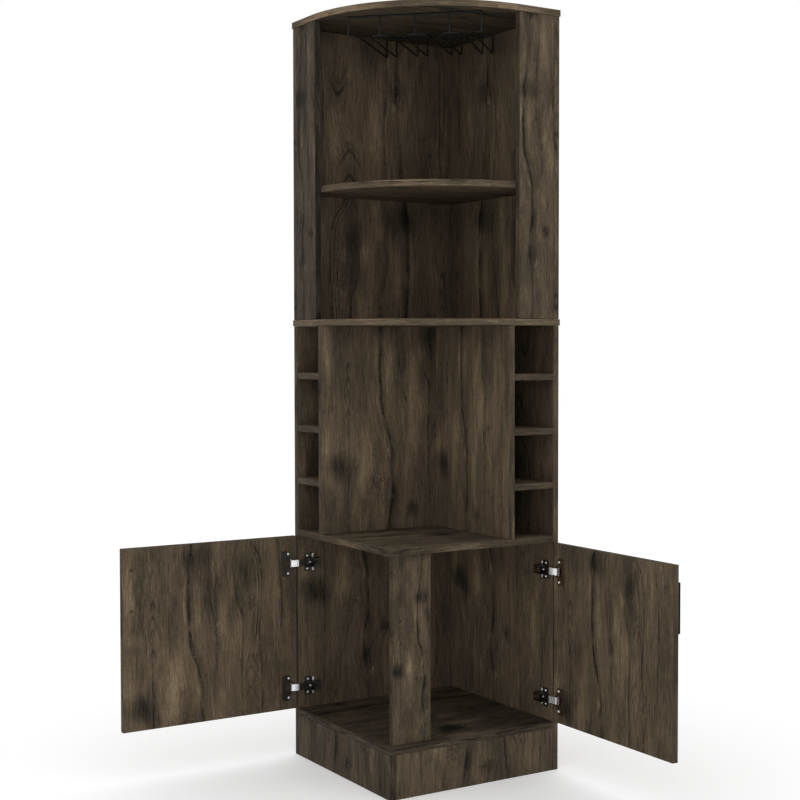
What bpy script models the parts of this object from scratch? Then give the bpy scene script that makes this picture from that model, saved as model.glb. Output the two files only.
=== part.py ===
# Corner bar cabinet, built from panels: a base with two doors, a counter with bottle
# cubbies on both sides, and an open hutch with a hanging rack for stemmed glasses.
# Metres, +Z up. The origin is on the floor at the room's corner: the outer faces of
# the two walls lie in the planes x = 0 and y = 0, and the cabinet fills -x, -y.
# The two doors stand open at a right angle, as they do in the rest position.

import math

import bmesh
import bpy
from mathutils import Matrix, Vector

# Overall sizes
HEIGHT = 1.800
SIDE = 0.464
PANEL = 0.015
SEAM = 0.0003
OVERHANG = 0.002
CHAMFER = 0.0006
CUT_OVERRUN = 0.002

# Heights of the zones between the horizontal boards
PLINTH_HEIGHT = 0.102
DOOR_OPENING = 0.429
BOTTLE_ZONE = 0.499
LOWER_HUTCH = 0.3045
CUBBY_ROWS = 4

# Widths of the upright boards
CUBBY_WIDTH = 0.112
STILE_WIDTH = 0.100
POST_WIDTH = 0.100
POST_GAP = 0.0015
ARC_STEPS = 24

# Doors and how they hang
DOOR_PANEL = 0.015
DOOR_SIDE_GAP = 0.002
DOOR_FREE_GAP = 0.0015
DOOR_END_GAP = 0.001
DOOR_CORNER_GAP = 0.006
DOOR_OPEN_GAP = 0.005
DOOR_OPEN_INSET = 0.0015
LOWER_HINGE_FROM_BOTTOM = 0.053
UPPER_HINGE_FROM_TOP = 0.067

# Hinge cup, its flange and the pin through it
CUP_RADIUS = 0.0173
CUP_WALL = 0.0011
CUP_DEPTH = 0.0113
CUP_FLOOR = 0.001
CUP_FROM_EDGE = 0.0225
FLANGE_WIDTH = 0.022
FLANGE_OFFSET = 0.0063
FLANGE_HEIGHT = 0.062
FLANGE_CORNER = 0.005
FLANGE_THICK = 0.0015
FLANGE_SCREW_SPACING = 0.048
PIN_RADIUS = 0.0012
PIN_FROM_EDGE = 0.013
PIN_DEPTH = 0.004
CUP_SIDES = 24

# Hinge link, between the cup's pin and the arm
LINK_HALF_HEIGHT = 0.009
LINK_EYE = 0.0026
LINK_NECK = 0.0022
LINK_LEAN = 0.001
LINK_RISE = 0.008
LINK_THICK = 0.004
LINK_BODY = 0.020
LINK_STEP = 0.004
LINK_REACH = 0.037
LINK_TAIL = 0.003
LINK_ARC_STEPS = 4

# Hinge arm and its mounting plate
ARM_FRONT = 0.018
ARM_BACK = 0.055
ARM_WEB_FRONT = 0.036
ARM_HEIGHT = 0.018
ARM_SHEET = 0.0015
ARM_CHEEK = 0.0012
LINK_SIDE_GAP = 0.0003
PLATE_FRONT = 0.0175
PLATE_BACK = 0.050
PLATE_THICK = 0.0032
PLATE_PAD_HEIGHT = 0.022
PLATE_WING_HEIGHT = 0.044
PLATE_WING_WIDTH = 0.025
PLATE_SCREW_FROM_FRONT = 0.037
PLATE_SCREW_SPACING = 0.032

# Handle
HANDLE_LENGTH = 0.112
HANDLE_SPACING = 0.096
HANDLE_REACH = 0.0208
HANDLE_SECTION = 0.008
HANDLE_FROM_EDGE = 0.022
HANDLE_FROM_TOP = 0.0984
HANDLE_SCREW_SINK = 0.0002

# Screws: head radius, head height, shaft radius and length under the head
SMALL_HEAD_RADIUS = 0.0038
SMALL_HEAD_HEIGHT = 0.0016
SMALL_SHAFT_RADIUS = 0.0016
SMALL_SHAFT_LENGTH = 0.0125
HANDLE_SHAFT_LENGTH = 0.0215
PANEL_HEAD_RADIUS = 0.0045
PANEL_HEAD_HEIGHT = 0.0035
PANEL_SHAFT_RADIUS = 0.0030
PANEL_SHAFT_LENGTH = 0.036
PANEL_HEAD_SINK = 0.0012
SCREW_SIDES = 8
PEG_SIDES = 6

# Wooden dowels
DOWEL_RADIUS = 0.0038
DOWEL_OUT = 0.010
DOWEL_IN_EDGE = 0.020

# Glass rack of bent wire, laid out along the diagonal from the front corner
WIRE_RADIUS = 0.002
WIRE_SIDES = 8
RACK_BEHIND_EDGE = 0.0725
RACK_FROM_CORNER = 0.147
RACK_ASIDE = 0.0028
RACK_DROP = 0.0457
SLOT_WIDTH = 0.025
MIDDLE_NOSE_RADIUS = 0.031
SIDE_NOSE_RADIUS = 0.027
END_NOSE_RADIUS = 0.024
WIRE_BEND = 0.005
BEND_STEPS = 4
NOSE_STEPS = 10
TAB_LENGTH = 0.016
TAB_WIDTH = 0.018
TAB_THICK = 0.0015

# Places of the fasteners, as distances from the front plane or shares of a length
SCREW_FROM_FRONT = 0.060
SCREW_FROM_BACK = 0.050
DOWEL_FROM_FRONT = 0.110
DOWEL_FROM_BACK = 0.100
DOWEL_STAGGER = 0.040
TAB_SCREW_SHARE = 0.6
LOW_SCREW_SHARE = 0.25
HIGH_SCREW_SHARE = 0.75
PLINTH_DOWEL_SHARE = 0.25

# Worked-out heights and planes
FLOOR_TOP = PLINTH_HEIGHT + PANEL
COUNTER_UNDER = FLOOR_TOP + DOOR_OPENING
COUNTER_TOP = COUNTER_UNDER + PANEL
MIDDLE_UNDER = COUNTER_TOP + BOTTLE_ZONE
MIDDLE_TOP = MIDDLE_UNDER + PANEL
UPPER_UNDER = MIDDLE_TOP + LOWER_HUTCH
UPPER_TOP = UPPER_UNDER + PANEL
TOP_UNDER = HEIGHT - PANEL
INSIDE = SIDE - PANEL
PARTITION_REACH = CUBBY_WIDTH + PANEL
ARC_CENTRE = SIDE - STILE_WIDTH
CUBBY_HEIGHT = (BOTTLE_ZONE - (CUBBY_ROWS - 1) * PANEL) / CUBBY_ROWS
DOOR_BOTTOM = FLOOR_TOP + DOOR_END_GAP
DOOR_TOP = COUNTER_UNDER - DOOR_END_GAP
HINGE_HEIGHTS = {
    "lower": DOOR_BOTTOM + LOWER_HINGE_FROM_BOTTOM,
    "upper": DOOR_TOP - UPPER_HINGE_FROM_TOP,
}
PIVOT_DEPTH = (DOOR_PANEL + DOOR_SIDE_GAP - DOOR_OPEN_GAP - DOOR_OPEN_INSET) / 2
PIVOT_REACH = DOOR_SIDE_GAP - DOOR_OPEN_GAP - PIVOT_DEPTH
ARM_HALF_WIDTH = LINK_HALF_HEIGHT + LINK_SIDE_GAP + ARM_CHEEK
RACK_FRONT = ARC_CENTRE * (math.sqrt(2) - 1) + RACK_BEHIND_EDGE
RACK_REAR = INSIDE * math.sqrt(2) - RACK_FROM_CORNER
WIRE_TOP = TOP_UNDER - SEAM - WIRE_RADIUS
RAIL_HEIGHT = WIRE_TOP - RACK_DROP
SIDE_NOSE_OFFSET = MIDDLE_NOSE_RADIUS + SLOT_WIDTH + SIDE_NOSE_RADIUS
END_NOSE_OFFSET = SIDE_NOSE_OFFSET + SIDE_NOSE_RADIUS + SLOT_WIDTH + END_NOSE_RADIUS
OUTER_SLOT_OFFSET = SIDE_NOSE_OFFSET + SIDE_NOSE_RADIUS + SLOT_WIDTH / 2
SIDES = ("left", "right")

cutters = {}
joined = {}


def clear_scene():
    for old in list(bpy.data.objects):
        bpy.data.objects.remove(old, do_unlink=True)


def make_material(name, colour, roughness, metallic):
    material = bpy.data.materials.new(name)
    material.use_nodes = True
    shader = material.node_tree.nodes["Principled BSDF"]
    shader.inputs["Base Color"].default_value = (*colour, 1.0)
    shader.inputs["Roughness"].default_value = roughness
    shader.inputs["Metallic"].default_value = metallic
    material.diffuse_color = (*colour, 1.0)
    return material


def side_frame(side):
    # Depth runs in from the front plane, reach runs from the wall's inner face
    # towards the middle of the cabinet, and the third value is the height.
    if side == "left":
        return Matrix(((1, 0, 0, -SIDE), (0, -1, 0, -PANEL), (0, 0, 1, 0), (0, 0, 0, 1)))
    return Matrix(((0, -1, 0, -PANEL), (1, 0, 0, -SIDE), (0, 0, 1, 0), (0, 0, 0, 1)))


def rack_frame():
    # The first value runs from the front corner to the room's corner, the second
    # across towards the right wall, and the third is the height.
    half = math.sqrt(0.5)
    return Matrix(((half, half, 0, -SIDE), (half, -half, 0, -SIDE), (0, 0, 1, 0), (0, 0, 0, 1)))


def add_box(bm, low, high):
    low = Vector(low)
    size = Vector(high) - low
    place = Matrix.Translation(low + size / 2) @ Matrix.Diagonal((*size, 1.0))
    bmesh.ops.create_cube(bm, size=1.0, matrix=place)


def add_prism(bm, outline, thickness):
    # Extrudes a closed outline of 3-D points along the thickness vector.
    bottom = bm.faces.new([bm.verts.new(point) for point in outline])
    grown = bmesh.ops.extrude_face_region(bm, geom=[bottom], use_keep_orig=True)
    lid = [item for item in grown["geom"] if isinstance(item, bmesh.types.BMVert)]
    bmesh.ops.translate(bm, verts=lid, vec=Vector(thickness))


def add_turned(bm, profile, base, direction, sides):
    # Turns (distance, radius) pairs about the line from base along direction.
    direction = Vector(direction).normalized()
    start = Vector((0, 0, 1)) if abs(direction.z) < 0.5 else Vector((1, 0, 0))
    across = start.cross(direction).normalized()
    up = direction.cross(across)
    rings = []
    for distance, radius in profile:
        centre = Vector(base) + direction * distance
        ring = []
        for step in range(sides):
            angle = 2 * math.pi * (step + 0.5) / sides
            ring.append(bm.verts.new(centre + (across * math.cos(angle) + up * math.sin(angle)) * radius))
        rings.append(ring)
    for near, far in zip(rings, rings[1:]):
        for step in range(sides):
            after = (step + 1) % sides
            bm.faces.new((near[step], near[after], far[after], far[step]))
    bm.faces.new(list(reversed(rings[0])))
    bm.faces.new(rings[-1])


def add_wire(bm, path, radius, sides):
    # Sweeps a round wire along a path of points, with a mitre at each point.
    points = [Vector(point) for point in path]
    runs = [(b - a).normalized() for a, b in zip(points, points[1:])]
    ups = [runs[0].orthogonal().normalized()]
    for before, after in zip(runs, runs[1:]):
        ups.append((before.rotation_difference(after) @ ups[-1]).normalized())
    rings = []
    for index, point in enumerate(points):
        before = runs[max(index - 1, 0)]
        after = runs[min(index, len(runs) - 1)]
        normal = (before + after).normalized()
        up = ups[max(index - 1, 0)]
        across = before.cross(up)
        ring = []
        for step in range(sides):
            angle = 2 * math.pi * (step + 0.5) / sides
            spoke = (up * math.cos(angle) + across * math.sin(angle)) * radius
            ring.append(bm.verts.new(point + spoke - before * (spoke.dot(normal) / before.dot(normal))))
        rings.append(ring)
    for near, far in zip(rings, rings[1:]):
        for step in range(sides):
            after = (step + 1) % sides
            bm.faces.new((near[step], near[after], far[after], far[step]))
    bm.faces.new(rings[0])
    bm.faces.new(rings[-1])


def arc_points(centre_x, centre_y, radius, start, end, steps):
    points = []
    for step in range(steps + 1):
        angle = math.radians(start + (end - start) * step / steps)
        points.append((centre_x + radius * math.cos(angle), centre_y + radius * math.sin(angle)))
    return points


def make_piece(name, bm, material, frame=None, origin=None, round_piece=False):
    if frame is not None:
        bmesh.ops.transform(bm, matrix=frame, verts=bm.verts)
    origin = Vector(origin) if origin is not None else Vector((0, 0, 0))
    bmesh.ops.translate(bm, verts=bm.verts, vec=-origin)
    bmesh.ops.recalc_face_normals(bm, faces=bm.faces)
    mesh = bpy.data.meshes.new(name)
    bm.to_mesh(mesh)
    bm.free()
    if material is not None:
        mesh.materials.append(material)
    piece = bpy.data.objects.new(name, mesh)
    piece.location = origin
    bpy.context.collection.objects.link(piece)
    if round_piece:
        mesh.shade_smooth()
        mesh.set_sharp_from_angle(angle=math.radians(40))
    return piece


def hide_helper(piece):
    piece.hide_render = True
    piece.display_type = "WIRE"


def add_boolean(piece, other, operation):
    hide_helper(other)
    step = piece.modifiers.new(operation.lower(), "BOOLEAN")
    step.operation = operation
    step.object = other
    step.solver = "EXACT"


def break_edges(piece):
    step = piece.modifiers.new("edges", "BEVEL")
    step.width = CHAMFER
    step.segments = 1
    step.limit_method = "ANGLE"


def cutter_for(name):
    if name not in cutters:
        cutters[name] = bmesh.new()
    return cutters[name]


def joined_to(name):
    if name not in joined:
        joined[name] = bmesh.new()
    return joined[name]


def finish_boards():
    # Every board loses the holes that its neighbours' fasteners and hinges need, and
    # gains the dowels glued into it and the screws driven into it.
    for name, bm in cutters.items():
        helper = make_piece("holes_in_" + name, bm, None)
        add_boolean(bpy.data.objects[name], helper, "DIFFERENCE")
    for name, bm in joined.items():
        helper = make_piece("fasteners_in_" + name, bm, None)
        add_boolean(bpy.data.objects[name], helper, "UNION")


def panel(name, low, high, material, frame=None, origin=None):
    bm = bmesh.new()
    add_box(bm, low, high)
    piece = make_piece(name, bm, material, frame, origin)
    break_edges(piece)
    return piece


def plan_panel(name, outline, bottom, top, material):
    bm = bmesh.new()
    points = [(x - SIDE, y - SIDE, bottom) for x, y in outline]
    add_prism(bm, points, (0, 0, top - bottom))
    piece = make_piece(name, bm, material)
    break_edges(piece)
    return piece


def screw_profile(head, shaft):
    # head and shaft are (length, radius), and the head starts at zero.
    head_length, head_radius = head
    shaft_length, shaft_radius = shaft
    end = head_length + shaft_length
    profile = [(0, head_radius), (head_length, head_radius)]
    return profile + [(head_length, shaft_radius), (end, shaft_radius)]


def cut_for_screw(boards, base, direction, head, shaft, sides):
    # Each board loses the screw's shape, grown by a seam and open behind the head.
    head_length, head_radius = head
    shaft_length, shaft_radius = shaft
    end = head_length + shaft_length + SEAM
    start = -PANEL_HEAD_SINK - CUT_OVERRUN
    hole = [(start, head_radius + SEAM), (head_length + SEAM, head_radius + SEAM)]
    hole += [(head_length + SEAM, shaft_radius + SEAM), (end, shaft_radius + SEAM)]
    for board in boards:
        add_turned(cutter_for(board), hole, base, direction, sides)


def add_joined_screw(home, board, base, direction, head, shaft, sides):
    add_turned(joined_to(home), screw_profile(head, shaft), base, direction, sides)
    cut_for_screw((board,), base, direction, head, shaft, sides)


def make_screw(name, boards, base, direction, head, shaft, metal, origin=None):
    bm = bmesh.new()
    add_turned(bm, screw_profile(head, shaft), base, direction, SCREW_SIDES)
    make_piece(name, bm, metal, origin=origin, round_piece=True)
    cut_for_screw(boards, base, direction, head, shaft, SCREW_SIDES)


def add_dowel(home, board, joint, direction):
    # A dowel glued into the end of its home board stands out into the other board.
    direction = Vector(direction).normalized()
    length = DOWEL_IN_EDGE + DOWEL_OUT
    base = Vector(joint) - direction * DOWEL_IN_EDGE
    profile = [(0, DOWEL_RADIUS), (length, DOWEL_RADIUS)]
    add_turned(joined_to(home), profile, base, direction, PEG_SIDES)
    wide = DOWEL_RADIUS + SEAM
    hole = [(-CUT_OVERRUN, wide), (DOWEL_OUT + SEAM, wide)]
    add_turned(cutter_for(board), hole, joint, direction, PEG_SIDES)


def make_walls(wood):
    for side in SIDES:
        frame = side_frame(side)
        # The right wall stops short of the left one, which runs to the corner.
        depth = SIDE if side == "left" else INSIDE - SEAM
        levels = {"lower": (0, MIDDLE_UNDER - SEAM), "upper": (MIDDLE_TOP + SEAM, TOP_UNDER - SEAM)}
        for level, (bottom, top) in levels.items():
            panel(level + "_" + side + "_wall", (0, -PANEL, bottom), (depth, 0, top), wood, frame)


def make_base(wood):
    inner = INSIDE - SEAM
    left = side_frame("left")
    right = side_frame("right")
    under = PLINTH_HEIGHT - SEAM
    panel("left_plinth", (0, SEAM, 0), (PANEL, INSIDE, under), wood, left)
    panel("right_plinth", (0, SEAM, 0), (PANEL, INSIDE - PANEL - SEAM, under), wood, right)
    square = [(0, 0), (inner, 0), (inner, inner), (0, inner)]
    plan_panel("base_floor", square, PLINTH_HEIGHT, FLOOR_TOP, wood)
    plan_panel("counter", square, COUNTER_UNDER, COUNTER_TOP, wood)
    recess = DOOR_PANEL + POST_GAP
    post = [(recess, recess), (recess + POST_WIDTH, recess)]
    post += [(recess + POST_WIDTH, recess + PANEL), (recess, recess + PANEL)]
    plan_panel("front_post", post, FLOOR_TOP + SEAM, COUNTER_UNDER - SEAM, wood)


def divider_depth(side):
    # The left cubbies run back to the right wall, the right ones to the left partition.
    return INSIDE - SEAM if side == "left" else INSIDE - PARTITION_REACH - SEAM


def divider_bottoms():
    return [COUNTER_TOP + row * CUBBY_HEIGHT + (row - 1) * PANEL for row in range(1, CUBBY_ROWS)]


def make_bottle_zone(wood):
    bottom = COUNTER_TOP + SEAM
    top = MIDDLE_UNDER - SEAM
    for side in SIDES:
        frame = side_frame(side)
        depth = divider_depth(side)
        panel(side + "_partition", (0, CUBBY_WIDTH, bottom), (depth, PARTITION_REACH, top), wood, frame)
        for row, shelf in enumerate(divider_bottoms(), start=1):
            name = side + "_divider_" + str(row)
            low = (0, SEAM, shelf)
            panel(name, low, (depth, CUBBY_WIDTH - SEAM, shelf + PANEL), wood, frame)


def rounded_outline(edge):
    # A square with its front corner rounded; edge is how far it stands out all round.
    far = SIDE + edge
    front = arc_points(ARC_CENTRE, ARC_CENTRE, ARC_CENTRE + edge, 180, 270, ARC_STEPS)
    return [(far, far), (-edge, far)] + front + [(far, -edge)]


def upper_shelf_outline():
    # The shelf lies behind the stiles, and its curve starts at their inner corners.
    far = INSIDE - SEAM
    back = PANEL + SEAM
    beside = INSIDE - STILE_WIDTH
    radius = math.hypot(ARC_CENTRE - back, ARC_CENTRE - beside)
    turn = math.degrees(math.atan2(ARC_CENTRE - beside, ARC_CENTRE - back))
    front = arc_points(ARC_CENTRE, ARC_CENTRE, radius, 180 + turn, 270 - turn, ARC_STEPS)
    return [(far, far), (back, far)] + front + [(far, back)]


def make_hutch(wood):
    plan_panel("middle_shelf", rounded_outline(OVERHANG), MIDDLE_UNDER, MIDDLE_TOP, wood)
    plan_panel("upper_shelf", upper_shelf_outline(), UPPER_UNDER, UPPER_TOP, wood)
    plan_panel("top_board", rounded_outline(OVERHANG), TOP_UNDER, HEIGHT, wood)
    for side in SIDES:
        low = (0, SEAM, MIDDLE_TOP + SEAM)
        high = (PANEL, STILE_WIDTH, TOP_UNDER - SEAM)
        panel(side + "_stile", low, high, wood, side_frame(side))


def panel_screw(home, board, face, direction):
    # Its head lies a little below the board's face.
    direction = Vector(direction)
    base = Vector(face) + direction * PANEL_HEAD_SINK
    head = (PANEL_HEAD_HEIGHT, PANEL_HEAD_RADIUS)
    shaft = (PANEL_SHAFT_LENGTH, PANEL_SHAFT_RADIUS)
    add_joined_screw(home, board, base, direction, head, shaft, PEG_SIDES)


def wall_screw(side, home, depth, height, level="lower"):
    # A panel screw through a wall's outer face into the edge of a board.
    frame = side_frame(side)
    base = frame @ Vector((depth, -PANEL, height))
    direction = frame.to_3x3() @ Vector((0, 1, 0))
    panel_screw(home, level + "_" + side + "_wall", base, direction)


def down_screw(home, board, depth, side, height):
    # A panel screw down through a board's upper face into the top edge of a wall.
    base = side_frame(side) @ Vector((depth, -PANEL / 2, height))
    panel_screw(home, board, base, (0, 0, -1))


def make_panel_screws():
    half = PANEL / 2
    for side in SIDES:
        for depth in (SCREW_FROM_FRONT, INSIDE - SCREW_FROM_BACK):
            wall_screw(side, "base_floor", depth, PLINTH_HEIGHT + half)
            wall_screw(side, "counter", depth, COUNTER_UNDER + half)
            wall_screw(side, "upper_shelf", depth, UPPER_UNDER + half, "upper")
            down_screw("lower_" + side + "_wall", "middle_shelf", depth, side, MIDDLE_TOP)
            down_screw("upper_" + side + "_wall", "top_board", depth, side, HEIGHT)
        for row, shelf in enumerate(divider_bottoms(), start=1):
            for depth in (SCREW_FROM_FRONT, divider_depth(side) - SCREW_FROM_BACK):
                wall_screw(side, side + "_divider_" + str(row), depth, shelf + half)
        wall_screw(side, side + "_plinth", half, PLINTH_HEIGHT / 2)
        for share in (LOW_SCREW_SHARE, HIGH_SCREW_SHARE):
            height = MIDDLE_TOP + (TOP_UNDER - MIDDLE_TOP) * share
            wall_screw(side, side + "_stile", half, height, "upper")
    # The left wall is screwed to the right wall's back edge.
    for level, bottom, top in (("lower", 0, MIDDLE_UNDER), ("upper", MIDDLE_TOP, TOP_UNDER)):
        for share in (LOW_SCREW_SHARE, HIGH_SCREW_SHARE):
            height = bottom + (top - bottom) * share
            wall_screw("left", level + "_right_wall", SIDE - half, height, level)
    # The right wall is screwed to the back edge of the left partition.
    for share in (LOW_SCREW_SHARE, HIGH_SCREW_SHARE):
        height = COUNTER_TOP + BOTTLE_ZONE * share
        wall_screw("right", "left_partition", INSIDE - CUBBY_WIDTH - half, height)


def make_dowels():
    half = PANEL / 2
    down = Vector((0, 0, -1))
    up = Vector((0, 0, 1))
    for side in SIDES:
        frame = side_frame(side)
        for depth in (DOWEL_FROM_FRONT, INSIDE - DOWEL_FROM_BACK):
            place = frame @ Vector((depth, -half, 0))
            add_dowel("lower_" + side + "_wall", "middle_shelf", place + up * MIDDLE_UNDER, up)
            add_dowel("upper_" + side + "_wall", "top_board", place + up * TOP_UNDER, up)
            shifted = frame @ Vector((depth + DOWEL_STAGGER, -half, 0))
            add_dowel("upper_" + side + "_wall", "middle_shelf", shifted + up * MIDDLE_TOP, down)
        place = frame @ Vector((half, STILE_WIDTH / 2, 0))
        add_dowel(side + "_stile", "middle_shelf", place + up * MIDDLE_TOP, down)
        add_dowel(side + "_stile", "top_board", place + up * TOP_UNDER, up)
        place = frame @ Vector((divider_depth(side) / 2, CUBBY_WIDTH + half, 0))
        add_dowel(side + "_partition", "counter", place + up * COUNTER_TOP, down)
        add_dowel(side + "_partition", "middle_shelf", place + up * MIDDLE_UNDER, up)
        place = frame @ Vector((half, INSIDE * PLINTH_DOWEL_SHARE, 0))
        add_dowel(side + "_plinth", "base_floor", place + up * PLINTH_HEIGHT, up)
        for row, shelf in enumerate(divider_bottoms(), start=1):
            edge = frame @ Vector((divider_depth(side) / 2, CUBBY_WIDTH, shelf + half))
            along = frame.to_3x3() @ Vector((0, 1, 0))
            add_dowel(side + "_divider_" + str(row), side + "_partition", edge, along)
    for share in (LOW_SCREW_SHARE, HIGH_SCREW_SHARE):
        height = COUNTER_TOP + BOTTLE_ZONE * share
        end = side_frame("right") @ Vector((INSIDE - PARTITION_REACH, CUBBY_WIDTH + half, height))
        add_dowel("right_partition", "left_partition", end, (0, 1, 0))
    end = side_frame("right") @ Vector((half, INSIDE - PANEL, PLINTH_HEIGHT / 2))
    add_dowel("right_plinth", "left_plinth", end, (-1, 0, 0))
    recess = DOOR_PANEL + POST_GAP
    place = Vector((recess + POST_WIDTH / 2 - SIDE, recess + half - SIDE, 0))
    add_dowel("front_post", "base_floor", place + up * FLOOR_TOP, down)
    add_dowel("front_post", "counter", place + up * COUNTER_UNDER, up)


def door_width(side):
    if side == "left":
        return INSIDE - DOOR_SIDE_GAP - DOOR_FREE_GAP
    return INSIDE - DOOR_SIDE_GAP - DOOR_PANEL - DOOR_CORNER_GAP


def door_axis(side):
    return side_frame(side) @ Vector((PIVOT_DEPTH, PIVOT_REACH, 0))


def make_door(side, wood):
    # At rest the door stands out in front of its wall's end, inner face to the middle.
    free = -DOOR_OPEN_GAP - door_width(side)
    low = (free, DOOR_OPEN_INSET - DOOR_PANEL, DOOR_BOTTOM)
    high = (-DOOR_OPEN_GAP, DOOR_OPEN_INSET, DOOR_TOP)
    panel(side + "_door", low, high, wood, side_frame(side), door_axis(side))


def make_handle(side, black, steel):
    frame = side_frame(side)
    foot = DOOR_OPEN_INSET - DOOR_PANEL - SEAM
    middle = DOOR_TOP - HANDLE_FROM_TOP
    near = HANDLE_FROM_EDGE - DOOR_OPEN_GAP - door_width(side) - HANDLE_SECTION / 2
    end = HANDLE_LENGTH / 2
    inner = HANDLE_SPACING / 2 - HANDLE_SECTION / 2
    outer = HANDLE_SPACING / 2 + HANDLE_SECTION / 2
    neck = HANDLE_REACH - HANDLE_SECTION
    outline = [(0, outer), (neck, outer), (neck, end), (HANDLE_REACH, end)]
    outline += [(HANDLE_REACH, -end), (neck, -end), (neck, -outer), (0, -outer)]
    outline += [(0, -inner), (neck, -inner), (neck, inner), (0, inner)]
    bm = bmesh.new()
    points = [(near, foot - reach, middle + height) for reach, height in outline]
    add_prism(bm, points, (HANDLE_SECTION, 0, 0))
    name = side + "_handle"
    piece = make_piece(name, bm, black, frame, door_axis(side))
    break_edges(piece)
    head = (SMALL_HEAD_HEIGHT, SMALL_HEAD_RADIUS)
    shaft = (HANDLE_SHAFT_LENGTH, SMALL_SHAFT_RADIUS)
    outwards = frame.to_3x3() @ Vector((0, -1, 0))
    ends = {"lower": middle - HANDLE_SPACING / 2, "upper": middle + HANDLE_SPACING / 2}
    for level, height in ends.items():
        inside = DOOR_OPEN_INSET - HANDLE_SCREW_SINK
        base = frame @ Vector((near + HANDLE_SECTION / 2, inside, height))
        screw = side + "_" + level + "_handle_screw"
        boards = (name, side + "_door")
        make_screw(screw, boards, base, outwards, head, shaft, steel, door_axis(side))


def make_cup(side, level, metal):
    # The cup sits in a bore in the door's inner face, under a flat flange.
    frame = side_frame(side)
    height = HINGE_HEIGHTS[level]
    name = side + "_" + level + "_hinge_cup"
    middle = -DOOR_OPEN_GAP - CUP_FROM_EDGE
    face = DOOR_OPEN_INSET + SEAM
    flange_top = face + FLANGE_THICK
    half_width = FLANGE_WIDTH / 2
    half_height = FLANGE_HEIGHT / 2
    cut = FLANGE_CORNER
    corners = [(half_width, half_height - cut), (half_width - cut, half_height)]
    corners += [(-half_width + cut, half_height), (-half_width, half_height - cut)]
    corners += [(-half_width, cut - half_height), (-half_width + cut, -half_height)]
    corners += [(half_width - cut, -half_height), (half_width, cut - half_height)]
    bm = bmesh.new()
    flange = middle - FLANGE_OFFSET
    points = [(flange + across, face, height + up) for across, up in corners]
    add_prism(bm, points, (0, FLANGE_THICK, 0))
    piece = make_piece(name, bm, metal, frame, door_axis(side))
    bottom = DOOR_OPEN_INSET - CUP_DEPTH
    body = bmesh.new()
    depth = flange_top - bottom
    add_turned(body, [(0, CUP_RADIUS), (depth, CUP_RADIUS)], (middle, bottom, height), (0, 1, 0), CUP_SIDES)
    add_boolean(piece, make_piece(name + "_body", body, None, frame), "UNION")
    pocket = bmesh.new()
    reach = depth - CUP_FLOOR + CUT_OVERRUN
    start = (middle, bottom + CUP_FLOOR, height)
    add_turned(pocket, [(0, CUP_RADIUS - CUP_WALL), (reach, CUP_RADIUS - CUP_WALL)], start, (0, 1, 0), CUP_SIDES)
    add_boolean(piece, make_piece(name + "_pocket", pocket, None, frame), "DIFFERENCE")
    bore = bmesh.new()
    reach = CUP_DEPTH + SEAM + CUT_OVERRUN
    start = (middle, bottom - SEAM, height)
    add_turned(bore, [(0, CUP_RADIUS + SEAM), (reach, CUP_RADIUS + SEAM)], start, (0, 1, 0), CUP_SIDES)
    helper = make_piece("bore_for_" + name, bore, None, frame)
    add_boolean(bpy.data.objects[side + "_door"], helper, "DIFFERENCE")
    inwards = frame.to_3x3() @ Vector((0, -1, 0))
    for offset in (-FLANGE_SCREW_SPACING / 2, FLANGE_SCREW_SPACING / 2):
        base = frame @ Vector((middle, flange_top + SMALL_HEAD_HEIGHT, height + offset))
        head = (SMALL_HEAD_HEIGHT, SMALL_HEAD_RADIUS)
        shaft = (SMALL_SHAFT_LENGTH, SMALL_SHAFT_RADIUS)
        add_joined_screw(name, side + "_door", base, inwards, head, shaft, SCREW_SIDES)


def pin_place():
    return (-DOOR_OPEN_GAP - PIN_FROM_EDGE, DOOR_OPEN_INSET - PIN_DEPTH)


def link_outline():
    # Drawn from the pin: an eye round it, a neck that rises out of the cup, a body
    # that reaches over the door's edge, and a thin tail that slides in the arm.
    eye = arc_points(0, 0, LINK_EYE, 200, 340, LINK_ARC_STEPS)
    top = LINK_RISE + LINK_THICK
    tail_middle = top - LINK_TAIL / 2
    tail_reach = LINK_REACH - LINK_TAIL / 2
    tail = arc_points(tail_reach, tail_middle, LINK_TAIL / 2, -90, 90, LINK_ARC_STEPS)
    outline = eye + [(LINK_NECK + LINK_LEAN, LINK_RISE), (LINK_BODY, LINK_RISE)]
    outline += [(LINK_BODY + LINK_STEP, top - LINK_TAIL)] + tail
    outline += [(-LINK_NECK, top), (-LINK_NECK - LINK_LEAN, top - LINK_TAIL)]
    return outline


def make_link(side, level, metal):
    depth, reach = pin_place()
    frame = side_frame(side)
    height = HINGE_HEIGHTS[level]
    bottom = height - LINK_HALF_HEIGHT
    bm = bmesh.new()
    points = [(depth + along, reach + up, bottom) for along, up in link_outline()]
    add_prism(bm, points, (0, 0, 2 * LINK_HALF_HEIGHT))
    name = side + "_" + level + "_hinge_link"
    piece = make_piece(name, bm, metal, frame, frame @ Vector((depth, reach, 0)))
    hole = bmesh.new()
    wide = PIN_RADIUS + SEAM
    length = 2 * (LINK_HALF_HEIGHT + CUT_OVERRUN)
    base = (depth, reach, bottom - CUT_OVERRUN)
    add_turned(hole, [(0, wide), (length, wide)], base, (0, 0, 1), SCREW_SIDES)
    add_boolean(piece, make_piece(name + "_eye", hole, None, frame), "DIFFERENCE")


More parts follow.
